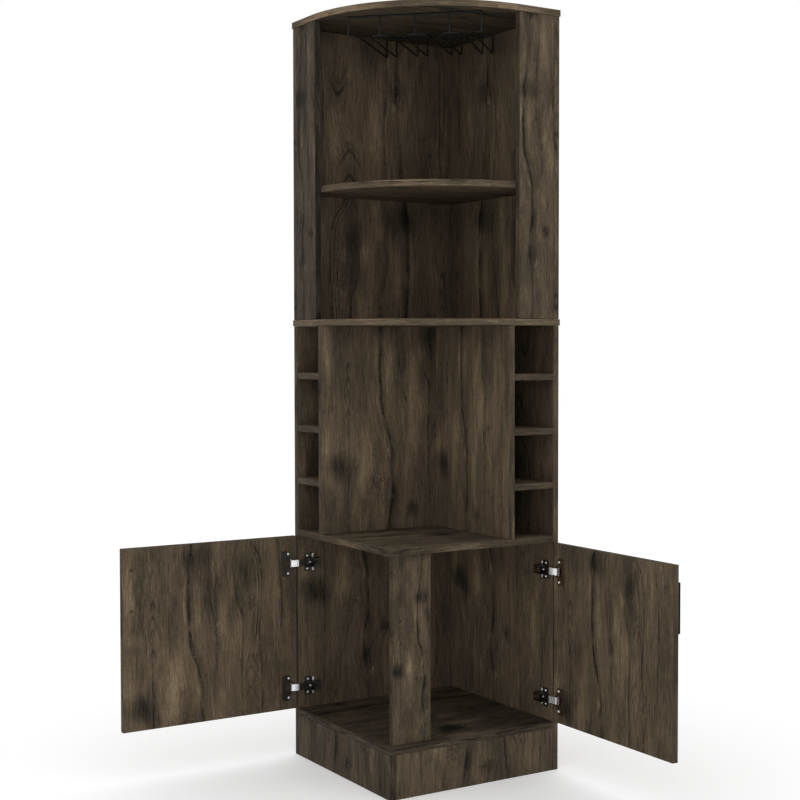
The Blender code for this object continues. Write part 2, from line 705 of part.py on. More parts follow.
def make_pin(side, level, steel):
    # The pin spans the cup's pocket where it crosses it.
    depth, reach = pin_place()
    inner = (CUP_RADIUS - CUP_WALL) * math.cos(math.pi / CUP_SIDES)
    offset = CUP_FROM_EDGE - PIN_FROM_EDGE + PIN_RADIUS
    half = math.sqrt(inner ** 2 - offset ** 2) - SEAM
    frame = side_frame(side)
    bm = bmesh.new()
    base = (depth, reach, HINGE_HEIGHTS[level] - half)
    add_turned(bm, [(0, PIN_RADIUS), (2 * half, PIN_RADIUS)], base, (0, 0, 1), SCREW_SIDES)
    name = side + "_" + level + "_hinge_pin"
    make_piece(name, bm, steel, frame, frame @ Vector((depth, reach, 0)), round_piece=True)


def make_arm(side, level, metal):
    # A channel that faces the wall: two cheeks, joined by a web behind the link.
    frame = side_frame(side)
    height = HINGE_HEIGHTS[level]
    foot = PLATE_THICK + 2 * SEAM
    low = (ARM_FRONT, foot, height - ARM_HALF_WIDTH)
    high = (ARM_BACK, ARM_HEIGHT, height + ARM_HALF_WIDTH)
    bm = bmesh.new()
    add_box(bm, low, high)
    name = side + "_" + level + "_hinge_arm"
    piece = make_piece(name, bm, metal, frame)
    start = ARM_FRONT - CUT_OVERRUN
    end = ARM_BACK + CUT_OVERRUN
    below = foot - CUT_OVERRUN
    ceiling = ARM_HEIGHT - ARM_SHEET
    above = ARM_HEIGHT + CUT_OVERRUN
    outline = [(start, below), (end, below), (end, ceiling), (ARM_WEB_FRONT, ceiling)]
    outline += [(ARM_WEB_FRONT, above), (start, above)]
    room = LINK_HALF_HEIGHT + LINK_SIDE_GAP
    hollow = bmesh.new()
    add_prism(hollow, [(x, y, height - room) for x, y in outline], (0, 0, 2 * room))
    add_boolean(piece, make_piece(name + "_hollow", hollow, None, frame), "DIFFERENCE")


def make_plate(side, level, metal):
    # A plate on the wall with a pad under the arm, and a screw in each wing.
    frame = side_frame(side)
    height = HINGE_HEIGHTS[level]
    pad = PLATE_PAD_HEIGHT / 2
    wing = PLATE_WING_HEIGHT / 2
    behind = PLATE_FRONT + PLATE_WING_WIDTH
    outline = [(PLATE_FRONT, -wing), (behind, -wing), (behind, -pad), (PLATE_BACK, -pad)]
    outline += [(PLATE_BACK, pad), (behind, pad), (behind, wing), (PLATE_FRONT, wing)]
    bm = bmesh.new()
    add_prism(bm, [(x, SEAM, height + z) for x, z in outline], (0, PLATE_THICK, 0))
    name = side + "_" + level + "_hinge_plate"
    make_piece(name, bm, metal, frame)
    inwards = frame.to_3x3() @ Vector((0, -1, 0))
    for offset in (-PLATE_SCREW_SPACING / 2, PLATE_SCREW_SPACING / 2):
        top = PLATE_THICK + SEAM + SMALL_HEAD_HEIGHT
        base = frame @ Vector((PLATE_SCREW_FROM_FRONT, top, height + offset))
        head = (SMALL_HEAD_HEIGHT, SMALL_HEAD_RADIUS)
        shaft = (SMALL_SHAFT_LENGTH, SMALL_SHAFT_RADIUS)
        add_joined_screw(name, "lower_" + side + "_wall", base, inwards, head, shaft, SCREW_SIDES)


def make_doors(wood, black, dark_metal, bright_metal, steel):
    for side in SIDES:
        make_door(side, wood)
        make_handle(side, black, steel)
        for level in HINGE_HEIGHTS:
            make_cup(side, level, dark_metal)
            make_link(side, level, bright_metal)
            make_pin(side, level, steel)
            make_arm(side, level, dark_metal)
            make_plate(side, level, dark_metal)


def bend(corner, before, after):
    # Replaces a square corner of a wire by a short arc.
    corner, before, after = Vector(corner), Vector(before), Vector(after)
    back = (before - corner).normalized() * WIRE_BEND
    ahead = (after - corner).normalized() * WIRE_BEND
    points = []
    for step in range(BEND_STEPS + 1):
        angle = math.pi / 2 * step / BEND_STEPS
        points.append(corner + back * (1 - math.sin(angle)) + ahead * (1 - math.cos(angle)))
    return points


def leg_path(across, radius):
    # From the rear bar down and forward to where the nose begins.
    top = Vector((RACK_REAR, across, WIRE_TOP - WIRE_RADIUS - SEAM))
    corner = Vector((RACK_REAR, across, RAIL_HEIGHT))
    nose = Vector((RACK_FRONT + radius, across, RAIL_HEIGHT))
    return [top] + bend(corner, top, nose) + [nose]


def nose_path(middle, radius, start, end, steps):
    # Part of the half circle at the front, from one rail round to the other.
    arc = arc_points(RACK_FRONT + radius, middle, radius, start, end, steps)
    return [Vector((x, y, RAIL_HEIGHT)) for x, y in arc]


def runner_noses():
    # The middle and the radius of each runner's round nose, from the left to the right.
    offsets = (-END_NOSE_OFFSET, -SIDE_NOSE_OFFSET, 0, SIDE_NOSE_OFFSET, END_NOSE_OFFSET)
    radii = (END_NOSE_RADIUS, SIDE_NOSE_RADIUS, MIDDLE_NOSE_RADIUS, SIDE_NOSE_RADIUS, END_NOSE_RADIUS)
    return [(RACK_ASIDE + offset, radius) for offset, radius in zip(offsets, radii)]


def runner_path(index):
    # The outer runners are single rails, the others are hairpins with a round nose.
    middle, radius = runner_noses()[index]
    right_leg = leg_path(middle + radius, radius)
    left_leg = leg_path(middle - radius, radius)
    if index == 0:
        return right_leg + nose_path(middle, radius, 90, 180, NOSE_STEPS // 2)[1:]
    if index == len(runner_noses()) - 1:
        return left_leg + nose_path(middle, radius, 270, 180, NOSE_STEPS // 2)[1:]
    nose = nose_path(middle, radius, 90, 270, NOSE_STEPS)
    return right_leg + nose[1:-1] + list(reversed(left_leg))


def make_rack(black, steel):
    frame = rack_frame()
    for index in range(len(runner_noses())):
        bm = bmesh.new()
        add_wire(bm, runner_path(index), WIRE_RADIUS, WIRE_SIDES)
        make_piece("rack_runner_" + str(index + 1), bm, black, frame, round_piece=True)
    half_length = END_NOSE_OFFSET + WIRE_RADIUS
    tabs = {"left": RACK_ASIDE - OUTER_SLOT_OFFSET, "right": RACK_ASIDE + OUTER_SLOT_OFFSET}
    make_rack_bar("rack_front_bar", RACK_FRONT, 1, half_length, tabs, black, steel)
    hangers = bmesh.new()
    low = RAIL_HEIGHT + WIRE_RADIUS + SEAM
    for middle, radius in runner_noses():
        base = (RACK_FRONT, middle, low)
        profile = [(0, WIRE_RADIUS), (WIRE_TOP - low, WIRE_RADIUS)]
        add_turned(hangers, profile, base, (0, 0, 1), WIRE_SIDES)
    helper = make_piece("rack_hangers", hangers, None, frame)
    add_boolean(bpy.data.objects["rack_front_bar"], helper, "UNION")
    rear_length = half_length - END_NOSE_RADIUS + WIRE_RADIUS
    make_rack_bar("rack_rear_bar", RACK_REAR, -1, rear_length, {"rear": RACK_ASIDE}, black, steel)


def make_rack_bar(name, depth, inwards, half_length, tabs, black, steel):
    # A round bar under the top board, with flat tabs that take its screws.
    frame = rack_frame()
    bm = bmesh.new()
    profile = [(0, WIRE_RADIUS), (2 * half_length, WIRE_RADIUS)]
    add_turned(bm, profile, (depth, RACK_ASIDE - half_length, WIRE_TOP), (0, 1, 0), WIRE_SIDES)
    piece = make_piece(name, bm, black, frame)
    top = TOP_UNDER - SEAM
    flat = bmesh.new()
    for place, across in tabs.items():
        end = depth + inwards * TAB_LENGTH
        low = (min(depth, end), across - TAB_WIDTH / 2, top - TAB_THICK)
        high = (max(depth, end), across + TAB_WIDTH / 2, top)
        add_box(flat, low, high)
        under = top - TAB_THICK - SEAM - SMALL_HEAD_HEIGHT
        base = frame @ Vector((depth + inwards * TAB_LENGTH * TAB_SCREW_SHARE, across, under))
        head = (SMALL_HEAD_HEIGHT, SMALL_HEAD_RADIUS)
        shaft = (SMALL_SHAFT_LENGTH, SMALL_SHAFT_RADIUS)
        screw = "rack_" + place + "_screw"
        make_screw(screw, (name, "top_board"), base, (0, 0, 1), head, shaft, steel)
    add_boolean(piece, make_piece(name + "_tabs", flat, None, frame), "UNION")


def main():
    clear_scene()
    wood = make_material("dark_oak_laminate", (0.062, 0.047, 0.031), 0.55, 0.0)
    black = make_material("black_metal", (0.012, 0.012, 0.013), 0.45, 0.6)
    dark_metal = make_material("hinge_dark", (0.05, 0.05, 0.05), 0.4, 0.9)
    bright_metal = make_material("hinge_bright", (0.75, 0.75, 0.76), 0.2, 1.0)
    steel = make_material("screw_steel", (0.45, 0.45, 0.46), 0.3, 1.0)
    make_walls(wood)
    make_base(wood)
    make_bottle_zone(wood)
    make_hutch(wood)
    make_doors(wood, black, dark_metal, bright_metal, steel)
    make_rack(black, steel)
    make_panel_screws()
    make_dowels()
    finish_boards()


main()
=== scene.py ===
import math

import bmesh
import bpy
from mathutils import Matrix, Vector


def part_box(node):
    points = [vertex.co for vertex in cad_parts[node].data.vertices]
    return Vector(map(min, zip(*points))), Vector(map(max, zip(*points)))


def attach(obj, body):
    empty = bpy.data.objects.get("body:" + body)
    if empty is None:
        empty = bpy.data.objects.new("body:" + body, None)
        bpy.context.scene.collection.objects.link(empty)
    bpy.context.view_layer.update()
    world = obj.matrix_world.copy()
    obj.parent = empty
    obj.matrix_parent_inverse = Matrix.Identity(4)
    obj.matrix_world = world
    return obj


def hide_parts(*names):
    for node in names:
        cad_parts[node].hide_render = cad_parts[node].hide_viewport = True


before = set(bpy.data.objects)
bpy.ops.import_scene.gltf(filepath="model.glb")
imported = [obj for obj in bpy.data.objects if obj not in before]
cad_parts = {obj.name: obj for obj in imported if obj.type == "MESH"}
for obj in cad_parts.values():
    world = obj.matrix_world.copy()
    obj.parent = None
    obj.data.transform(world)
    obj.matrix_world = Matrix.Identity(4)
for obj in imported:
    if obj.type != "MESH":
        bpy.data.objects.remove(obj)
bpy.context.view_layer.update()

sides = ("left", "right")
levels = ("lower", "upper")


# Small helpers for node trees

def connect(tree, value, socket):
    if isinstance(value, bpy.types.NodeSocket):
        tree.links.new(value, socket)
    else:
        socket.default_value = value


def addNode(tree, kind, inputs=None, **settings):
    node = tree.nodes.new("ShaderNode" + kind)
    for name, value in settings.items():
        setattr(node, name, value)
    for key, value in (inputs or {}).items():
        connect(tree, value, node.inputs[key])
    return node


def calc(tree, operation, first, second=0.0, third=0.0):
    node = addNode(tree, "Math", {0: first, 1: second, 2: third}, operation=operation)
    return node.outputs[0]


def fade(tree, value, start, end, low=0.0, high=1.0):
    inputs = {"Value": value, "From Min": start, "From Max": end, "To Min": low, "To Max": high}
    node = addNode(tree, "MapRange", inputs, interpolation_type="SMOOTHSTEP")
    return node.outputs["Result"]


def dot(tree, vector, axis):
    node = addNode(tree, "VectorMath", {0: vector, 1: axis}, operation="DOT_PRODUCT")
    return node.outputs["Value"]


def cloudy(tree, across, along, depth, detail=2.0, roughness=0.5):
    # noise on a flat sheet; the depth picks another part of the pattern
    point = addNode(tree, "CombineXYZ", {"X": across, "Y": along, "Z": depth})
    inputs = {"Vector": point.outputs[0], "Scale": 1.0, "Detail": detail, "Roughness": roughness}
    return addNode(tree, "TexNoise", inputs).outputs["Fac"]


def paint(red, green, blue):
    # screen colour, 0 to 255, as Blender's linear colour
    shares = [value / 255 for value in (red, green, blue)]
    linear = [s / 12.92 if s <= 0.04045 else ((s + 0.055) / 1.055) ** 2.4 for s in shares]
    return (*linear, 1.0)


def blendStops(tree, value, stops):
    ramp = addNode(tree, "ValToRGB", {"Fac": value})
    points = ramp.color_ramp.elements
    while len(points) < len(stops):
        points.new(0.5)
    for point, (place, colour) in zip(points, stops):
        point.position = place
        point.color = colour
    return ramp.outputs["Color"]


def newGroup(name, inputs, outputs):
    group = bpy.data.node_groups.new(name, "ShaderNodeTree")
    kinds = {"number": "NodeSocketFloat", "vector": "NodeSocketVector", "colour": "NodeSocketColor"}
    for label, kind in inputs:
        group.interface.new_socket(label, in_out="INPUT", socket_type=kinds[kind])
    for label, kind in outputs:
        group.interface.new_socket(label, in_out="OUTPUT", socket_type=kinds[kind])
    return group, group.nodes.new("NodeGroupInput").outputs, group.nodes.new("NodeGroupOutput").inputs


# The printed oak: one print sheet, in millimetres, "across" over the grain and "along" with it.
# The sheet turns back at its borders, so boards can lie anywhere on it.

oakSheet = {
    "low": (-20, -160),
    "size": (500, 1060),
    "stops": [
        (0.00, paint(30, 27, 22)),
        (0.22, paint(47, 41, 33)),
        (0.50, paint(77, 66, 52)),
        (0.74, paint(104, 88, 68)),
        (1.00, paint(140, 120, 92)),
    ],
    # random layers: scale across and along, depth, detail, roughness, and for some a soft step:
    # where it starts and ends, and its values there
    "layers": {
        "drift": (6, 1.6, 3.1, 2, 0.5),
        "ripple": (26, 9, 5.9, 3, 0.5),
        "comb": (150, 3, 31.7, 2, 0.6),
        "ragged": (48, 26, 33.1, 3, 0.6),
        "streaks": (44, 3.2, 7.3, 4, 0.66),
        "fibres": (280, 26, 11.9, 3, 0.7),
        "dust": (800, 110, 13.1, 2, 0.6),
        "patches": (24, 5.5, 9.1, 3, 0.6, 0.42, 0.60, -0.5, 0.5),
        "darkLines": (420, 9, 15.7, 2, 0.6, 0.57, 0.64, 0, 1),
        "paleLines": (330, 8, 21.3, 2, 0.6, 0.57, 0.64, 0, 1),
        "haze": (9, 3.4, 23.9, 3.5, 0.55, 0.50, 0.74, 0, 1),
        "wobble": (60, 26, 37.1, 3, 0.6),
        "broken": (30, 22, 39.7, 2, 0.5, 0.36, 0.56, 0.35, 1),
        "speckle": (420, 260, 41.3, 2, 0.6, 0.40, 0.60, 0.35, 1.3),
        "rough": (130, 110, 43.7, 3, 0.65),
        "strokes": (250, 170, 45.1, 2, 0.6, 0.46, 0.60, 0, 1),
        "scratches": (300, 42, 47.9, 2, 0.6, 0.56, 0.70, 0, 1),
        "scratchPlaces": (13, 6, 53.3, 2, 0.5, 0.54, 0.68, 0, 0.8),
        "pores": (700, 22, 59.7, 2, 0.6),
        "warmth": (16, 4, 61.3, 2, 0.5, 0.35, 0.65, -0.25, 0.35),
    },
    # how much lighter each layer makes the print
    "weights": {
        "streaks": 0.17, "fibres": 0.66, "dust": 0.46, "patches": 0.12, "darkLines": -0.10, "paleLines": 0.10,
        "haze": -0.10, "pale": 1.30, "ring": 0.06, "strokes": -0.16, "heart": -0.08, "scratches": 0.15,
    },
    # how far layers push the grain or the figures, in metres; "rough" is for knots, in their half widths
    "strays": {
        "drift": 0.012, "ripple": 0.005, "comb": 0.075, "ragged": 0.020, "wobble": 0.007, "rough": 2.2,
    },
    "lean": {"middle": 0.178, "column": 0.18, "reach": 0.10},   # of the grain along the long crack
    "push": 0.65,
    "softComb": 0.25,       # share of the comb in the clouds' outlines
    "greyFrom": (0.02, 0.40),
    "hues": ((0.97, 1.02, 1.10, 1.0), (0.93, 1.02, 1.08, 1.0)),   # plain, and in the clouds
    "roughness": (0.62, -0.30),
    "relief": {"pores": 0.6, "fibres": 0.4},
    "blotSize": 1.30,
    "blotDepth": 0.80,
    # across, along, half width, half height, darkness
    "clouds": [
        (41, 164, 44, 36, 0.5), (66, 136, 34, 28, 0.24), (302, 455, 34, 100, 0.22),
        (298, 478, 30, 36, 0.15), (306, 405, 24, 70, 0.12), (196, 507, 56, 38, 0.24),
        (163, 508, 22, 34, 0.17), (20, 300, 24, 14, 0.14), (192, 75, 24, 56, 0.22), (253, 47, 19, 21, 0.24),
        (45, 420, 22, 190, 0.17), (28, 350, 14, 36, 0.13), (220, 400, 22, 70, 0.12),
        (434, 380, 22, 150, 0.18), (395, 240, 34, 110, 0.07), (80, 520, 34, 60, 0.1),
        (198, -20, 28, 50, 0.2), (178, -75, 20, 50, 0.12), (118, 345, 30, 110, 0.07),
        (188, 757, 30, 34, 0.22), (330, 752, 30, 40, 0.15), (300, 600, 34, 36, 0.13),
        (70, 700, 34, 80, 0.12), (255, 840, 50, 40, 0.12), (120, 600, 24, 80, 0.1),
        (420, 700, 30, 120, 0.12), (340, 40, 30, 70, 0.07), (420, 60, 26, 90, 0.1),
        (100, -80, 30, 60, 0.09),
    ],
    "pale": [
        (13, 450, 17, 80, 0.12), (14, 195, 26, 70, 0.17), (125, 190, 24, 105, 0.19),
        (112, 140, 22, 50, 0.09), (151, 425, 10, 60, 0.13), (184, 395, 13, 80, 0.15),
        (275, 437, 12, 30, 0.16), (252, 365, 20, 90, 0.12), (280, 305, 18, 80, 0.12),
        (237, 505, 20, 50, 0.12), (256, 240, 22, 80, 0.09), (186, 192, 7, 14, 0.2), (211, -62, 9, 9, 0.24),
        (243, 655, 22, 140, 0.12), (195, 731, 7, 9, 0.26), (340, 660, 16, 60, 0.1),
        (382, 480, 16, 120, 0.09), (140, 290, 16, 60, 0.07), (30, 600, 20, 100, 0.1),
        (240, 140, 20, 60, 0.08), (372, 100, 14, 80, 0.1),
    ],
    # across, along, half width, half height, sideways push of the grain
    "swells": [
        (153, 112, 30, 55, 11), (253, 47, 26, 45, -12), (302, 455, 55, 120, 22), (322, 190, 34, 130, 24),
        (74, 360, 20, 110, 12), (188, 757, 34, 60, 16), (332, 730, 45, 90, -26), (304, 620, 45, 70, 24),
        (230, 330, 16, 40, 8), (195, -35, 30, 50, 14), (105, 640, 26, 70, -11), (400, 560, 30, 100, 14),
        (60, 800, 34, 80, 16), (380, -60, 36, 90, -18),
    ],
    # across, along, half width, half height, strength of the rough rings
    "knots": [
        (153, 112, 15, 17, 1), (253, 47, 10, 11, 1), (190, -30, 11, 16, 0.9), (296, 462, 11, 9, 0.7),
        (231, 328, 7, 12, 0.8), (188, 752, 12, 14, 1), (22, 345, 5, 6, 0.8), (74, 488, 3, 5, 0.8),
        (62, 745, 5, 6, 0.8), (325, 380, 13, 20, 0.6), (345, 100, 12, 18, 0.5), (105, 640, 6, 8, 0.8),
        (270, 560, 5, 7, 0.7), (400, 820, 11, 13, 0.8),
    ],
    # lines that run up the sheet: half width, (along, across, strength) from the foot up
    "cracks": [
        (4, [(-160, 200, 0.3), (-70, 196, 0.4), (0, 187, 0.5), (40, 190, 0.8), (76, 197, 1),
            (111, 199, 0.6), (158, 195, 0.5), (188, 197, 0.6), (218, 192, 0.7), (253, 182, 0.8),
            (281, 172, 1), (303, 167, 1), (348, 164, 1), (388, 161, 0.9), (445, 162, 0.7), (470, 163, 0.4),
            (508, 163, 0.9), (540, 170, 0.9), (600, 178, 0.4), (700, 186, 0.3), (780, 190, 0.5),
            (900, 184, 0.2)]),
        (1.6, [(-160, 352, 0.2), (150, 352, 0.5), (230, 350, 0.7), (260, 347, 0.8), (310, 345, 0.9),
            (360, 349, 0.9), (410, 351.5, 1), (460, 350, 1), (500, 342.5, 1), (538, 320, 0.9),
            (600, 300, 0), (900, 300, 0)]),
        (1.8, [(-160, 315, 0.5), (0, 310, 0.7), (110, 300, 0.8), (160, 299, 0.8), (238, 297.5, 0.9),
            (278, 300, 0.8), (323, 302.5, 0.8), (358, 300, 0.8), (388, 287.5, 0.6), (438, 280, 0.3),
            (500, 276, 0), (900, 276, 0)]),
        (1, [(-160, 340, 0), (250, 339, 0.3), (310, 337, 0.7), (360, 341, 0.8), (410, 343.5, 0.9),
            (460, 342, 0.9), (500, 334, 0.9), (538, 311, 0.8), (600, 290, 0), (900, 290, 0)]),
        (1, [(-160, 330, 0), (300, 330, 0.3), (360, 332, 0.7), (410, 335, 0.8), (460, 333, 0.8),
            (500, 324, 0.7), (532, 304, 0.6), (580, 285, 0), (900, 285, 0)]),
        (1.3, [(-160, 70, 0.3), (40, 73, 0.7), (300, 72, 0.8), (330, 62, 0.6), (400, 66, 0.3),
            (550, 70, 0.3), (660, 80, 0.8), (900, 78, 0.4)]),
        (1.6, [(-160, 395, 0.4), (50, 404, 0.8), (200, 398, 0.4), (360, 405, 0.8), (500, 396, 0.5),
            (640, 372, 0.8), (720, 366, 0.9), (800, 372, 0.6), (900, 380, 0.5)]),
        (2.4, [(-160, 128, 0.2), (40, 135, 0.3), (200, 232, 0), (240, 234, 0.4), (320, 232, 0.5),
            (360, 226, 0.3), (420, 212, 0.5), (470, 210, 0.2), (580, 214, 0.5), (680, 222, 0.7),
            (780, 214, 0.5), (900, 220, 0.3)]),
    ],
    # of a crack, in its half widths: the line's outer and inner reach, then middle, reach and weight
    "crackLine": (1.5, 0.3),
    "crackDepths": (0.46, 0.30),    # the long crack, and the others
    "crackShade": (1.2, 4.5, 0.13),
    "crackLip": (-2.4, 1.2, 0.11),
    "arrowTip": 0.050,      # how round the tips are
    "arrowDepth": 0.31,
    "arrowWobble": 0.35,
    "arrowFull": 0.3,       # share of the half width at which the lines have their full depth
    "arrowLine": (0.010, 0.0045),   # below and above a tip, of the sheet's height
    "knotLook": {"far": 9.0, "faint": 0.8, "around": (2.0, 0.7), "heart": (0.75, 0.1), "turns": 8.5},
    # nested arrowheads: across, steepness, half width, then (along, strength) of each tip from the foot up
    "arrows": [
        (73.5, 3.6, 10, [(305, 1), (353, 0.8), (383, 1), (417.5, 1), (490, 0.5)]),
        (322.5, 2.4, 28, [(125, 0.3), (195, 0.35), (246, 0.4), (275, 0.6)]),
        (305, 1.5, 32, [(560, 0.4), (602, 0.9), (650, 1), (664, 0.4)]),
        (332, -1.7, 26, [(700, 0.4), (735, 1), (756, 0.5)]),
    ],
}


def drawCurve(tree, value, points, name):
    # a smooth line through the points; both of its directions run from 0 to 1
    node = addNode(tree, "FloatCurve", {"Value": value}, label=name)
    curve = node.mapping.curves[0]
    while len(curve.points) < len(points):
        curve.points.new(0.5, 0.5)
    for spot, (x, y) in zip(curve.points, points):
        spot.location = (x, y)
        spot.handle_type = "AUTO_CLAMPED"
    node.mapping.update()
    return node.outputs[0]


class SheetTree:
    # the print's node tree, with short words for what the marks need; u and v are a place on the sheet

    def __init__(self):
        inputs = [(name, "number") for name in ("Across", "Along", "Board", "Tone")]
        outputs = [("Colour", "colour"), ("Roughness", "number"), ("Relief", "number")]
        self.tree, self.given, self.result = newGroup("rusticOakPrint", inputs, outputs)
        self.across, self.along, self.board = (self.given[name] for name in ("Across", "Along", "Board"))
        left, self.foot = (value / 1000 for value in oakSheet["low"])
        self.width, self.height = (value / 1000 for value in oakSheet["size"])
        self.u = self.turnBack(self.across, left, self.width)
        self.v = self.turnBack(self.along, self.foot, self.height)
        self.share = self.shareOf(self.v)

    def plus(self, first, second):
        return calc(self.tree, "ADD", first, second)

    def minus(self, first, second):
        return calc(self.tree, "SUBTRACT", first, second)

    def times(self, first, second, extra=0.0):
        return calc(self.tree, "MULTIPLY_ADD", first, second, extra)

    def away(self, value, middle=0.0):
        return calc(self.tree, "ABSOLUTE", self.minus(value, middle))

    def fade(self, value, *limits):
        return fade(self.tree, value, *limits)

    def turnBack(self, value, start, length):
        return self.plus(calc(self.tree, "PINGPONG", self.minus(value, start), length), start)

    def shareOf(self, along):
        # share of the sheet's height
        return self.times(self.minus(along, self.foot), 1 / self.height)

    def point(self, x, y):
        return addNode(self.tree, "CombineXYZ", {"X": x, "Y": y}).outputs[0]

    def layer(self, name, over=None, up=None):
        acrossScale, alongScale, depth, detail, roughness, *step = oakSheet["layers"][name]
        over, up = self.times(over or self.across, acrossScale), self.times(up or self.along, alongScale)
        value = cloudy(self.tree, over, up, self.plus(self.board, depth), detail, roughness)
        return self.fade(value, *step) if step else value

    def stray(self, name, over=None):
        return self.times(self.minus(self.layer(name, over), 0.5), oakSheet["strays"][name])

    def reachOf(self, place, spot):
        # distance from the spot's middle, in its own half widths
        x, y, *halves = (value / 1000 for value in spot[:4])
        wide, tall = (half * oakSheet["blotSize"] for half in halves)
        inputs = {0: place, 1: (1 / wide, 1 / tall, 0), 2: (-x / wide, -y / tall, 0)}
        scaled = addNode(self.tree, "VectorMath", inputs, operation="MULTIPLY_ADD")
        return addNode(self.tree, "VectorMath", {0: scaled.outputs[0]}, operation="LENGTH").outputs["Value"]

    def blots(self, place, spots, total=0.0, unit=1.0):
        for spot in spots:
            total = self.plus(self.fade(self.reachOf(place, spot), 1.0, 0.0, 0.0, spot[4] * unit), total)
        return total

    def runUp(self, path, column, scale, name):
        points = [((spot[0] / 1000 - self.foot) / self.height, spot[column] * scale) for spot in path]
        return drawCurve(self.tree, self.share, points, name)

    def acrossAt(self, path, name):
        return self.times(self.runUp(path, 1, 0.001 / self.width, name), self.width)


def leanGrain(pen):
    # the grain leans with the long crack and swells round the figures
    look = oakSheet["lean"]
    lean = pen.minus(pen.acrossAt(oakSheet["cracks"][0][1], "lean"), look["middle"])
    nearCrack = pen.fade(pen.away(pen.u, look["column"]), look["reach"], 0.0)
    place = pen.point(pen.u, pen.v)
    push = pen.blots(place, oakSheet["swells"], pen.times(lean, pen.times(nearCrack, -1.0)), 0.001)
    pushed = pen.times(push, oakSheet["push"], pen.across)
    return pen.plus(pushed, pen.plus(pen.stray("drift"), pen.stray("ripple")))


def markCracks(pen, tone, wobble):
    # a dark line with a pale lip on one side
    wavy = pen.plus(pen.u, wobble)
    broken, speckle = pen.layer("broken"), pen.layer("speckle")
    for number, (half, path) in enumerate(oakSheet["cracks"]):
        name = f"crack{number + 1}"
        beside = pen.times(pen.minus(wavy, pen.acrossAt(path, name)), 1000 / half)
        strength = pen.times(pen.runUp(path, 2, 1.0, name + "Depth"), broken)
        depth = oakSheet["crackDepths"][min(number, 1)]
        dark = pen.times(pen.fade(pen.away(beside), *oakSheet["crackLine"], 0.0, depth), speckle)
        shade, lip = (pen.fade(pen.away(beside, middle), reach, 0.0, 0.0, weight)
                      for middle, reach, weight in (oakSheet["crackShade"], oakSheet["crackLip"]))
        tone = pen.times(pen.minus(lip, pen.plus(dark, shade)), strength, tone)
    return tone


def markArrowheads(pen, tone, wobble):
    # V-shaped lines one above the other
    below, above = oakSheet["arrowLine"]
    for number, (middle, steep, half, tips) in enumerate(oakSheet["arrows"]):
        half = half / 1000
        beside = pen.minus(pen.times(wobble, oakSheet["arrowWobble"], pen.u), middle / 1000)
        leg = calc(pen.tree, "SQRT", pen.times(beside, beside, oakSheet["arrowTip"] * half * half))
        points = [(0.0, 0.0)]
        for tip, strength in tips:
            at = (tip / 1000 - pen.foot) / pen.height
            points += [(at - below, 0.0), (at, strength), (at + above, 0.0)]
        level = pen.shareOf(pen.times(leg, steep, pen.v))
        lines = drawCurve(pen.tree, level, points + [(1.0, 0.0)], f"arrow{number + 1}")
        within = pen.fade(pen.away(beside), half, half * oakSheet["arrowFull"], 0.0, oakSheet["arrowDepth"])
        tone = pen.minus(tone, pen.times(lines, within))
    return tone


def markKnots(pen, tone, bent, unsteady):
    # the nearest knot gives rough rings, dark strokes, a dark heart and pale scratches
    look = oakSheet["knotLook"]
    nearest = look["far"]
    for knot in oakSheet["knots"]:
        reach = pen.plus(pen.reachOf(unsteady, knot), (1 - knot[4]) * look["faint"])
        nearest = calc(pen.tree, "MINIMUM", reach, nearest)
    nearest = pen.plus(nearest, pen.stray("rough"))
    around = pen.fade(nearest, *look["around"])
    scratched = calc(pen.tree, "MAXIMUM", pen.layer("scratchPlaces"), around)
    marks = {
        "ring": pen.times(calc(pen.tree, "SINE", pen.times(nearest, look["turns"])), around),
        "strokes": pen.times(pen.layer("strokes", bent), around),
        "heart": pen.fade(nearest, *look["heart"]),
        "scratches": pen.times(pen.layer("scratches", bent), scratched),
    }
    for name, value in marks.items():
        tone = pen.times(value, oakSheet["weights"][name], tone)
    return tone


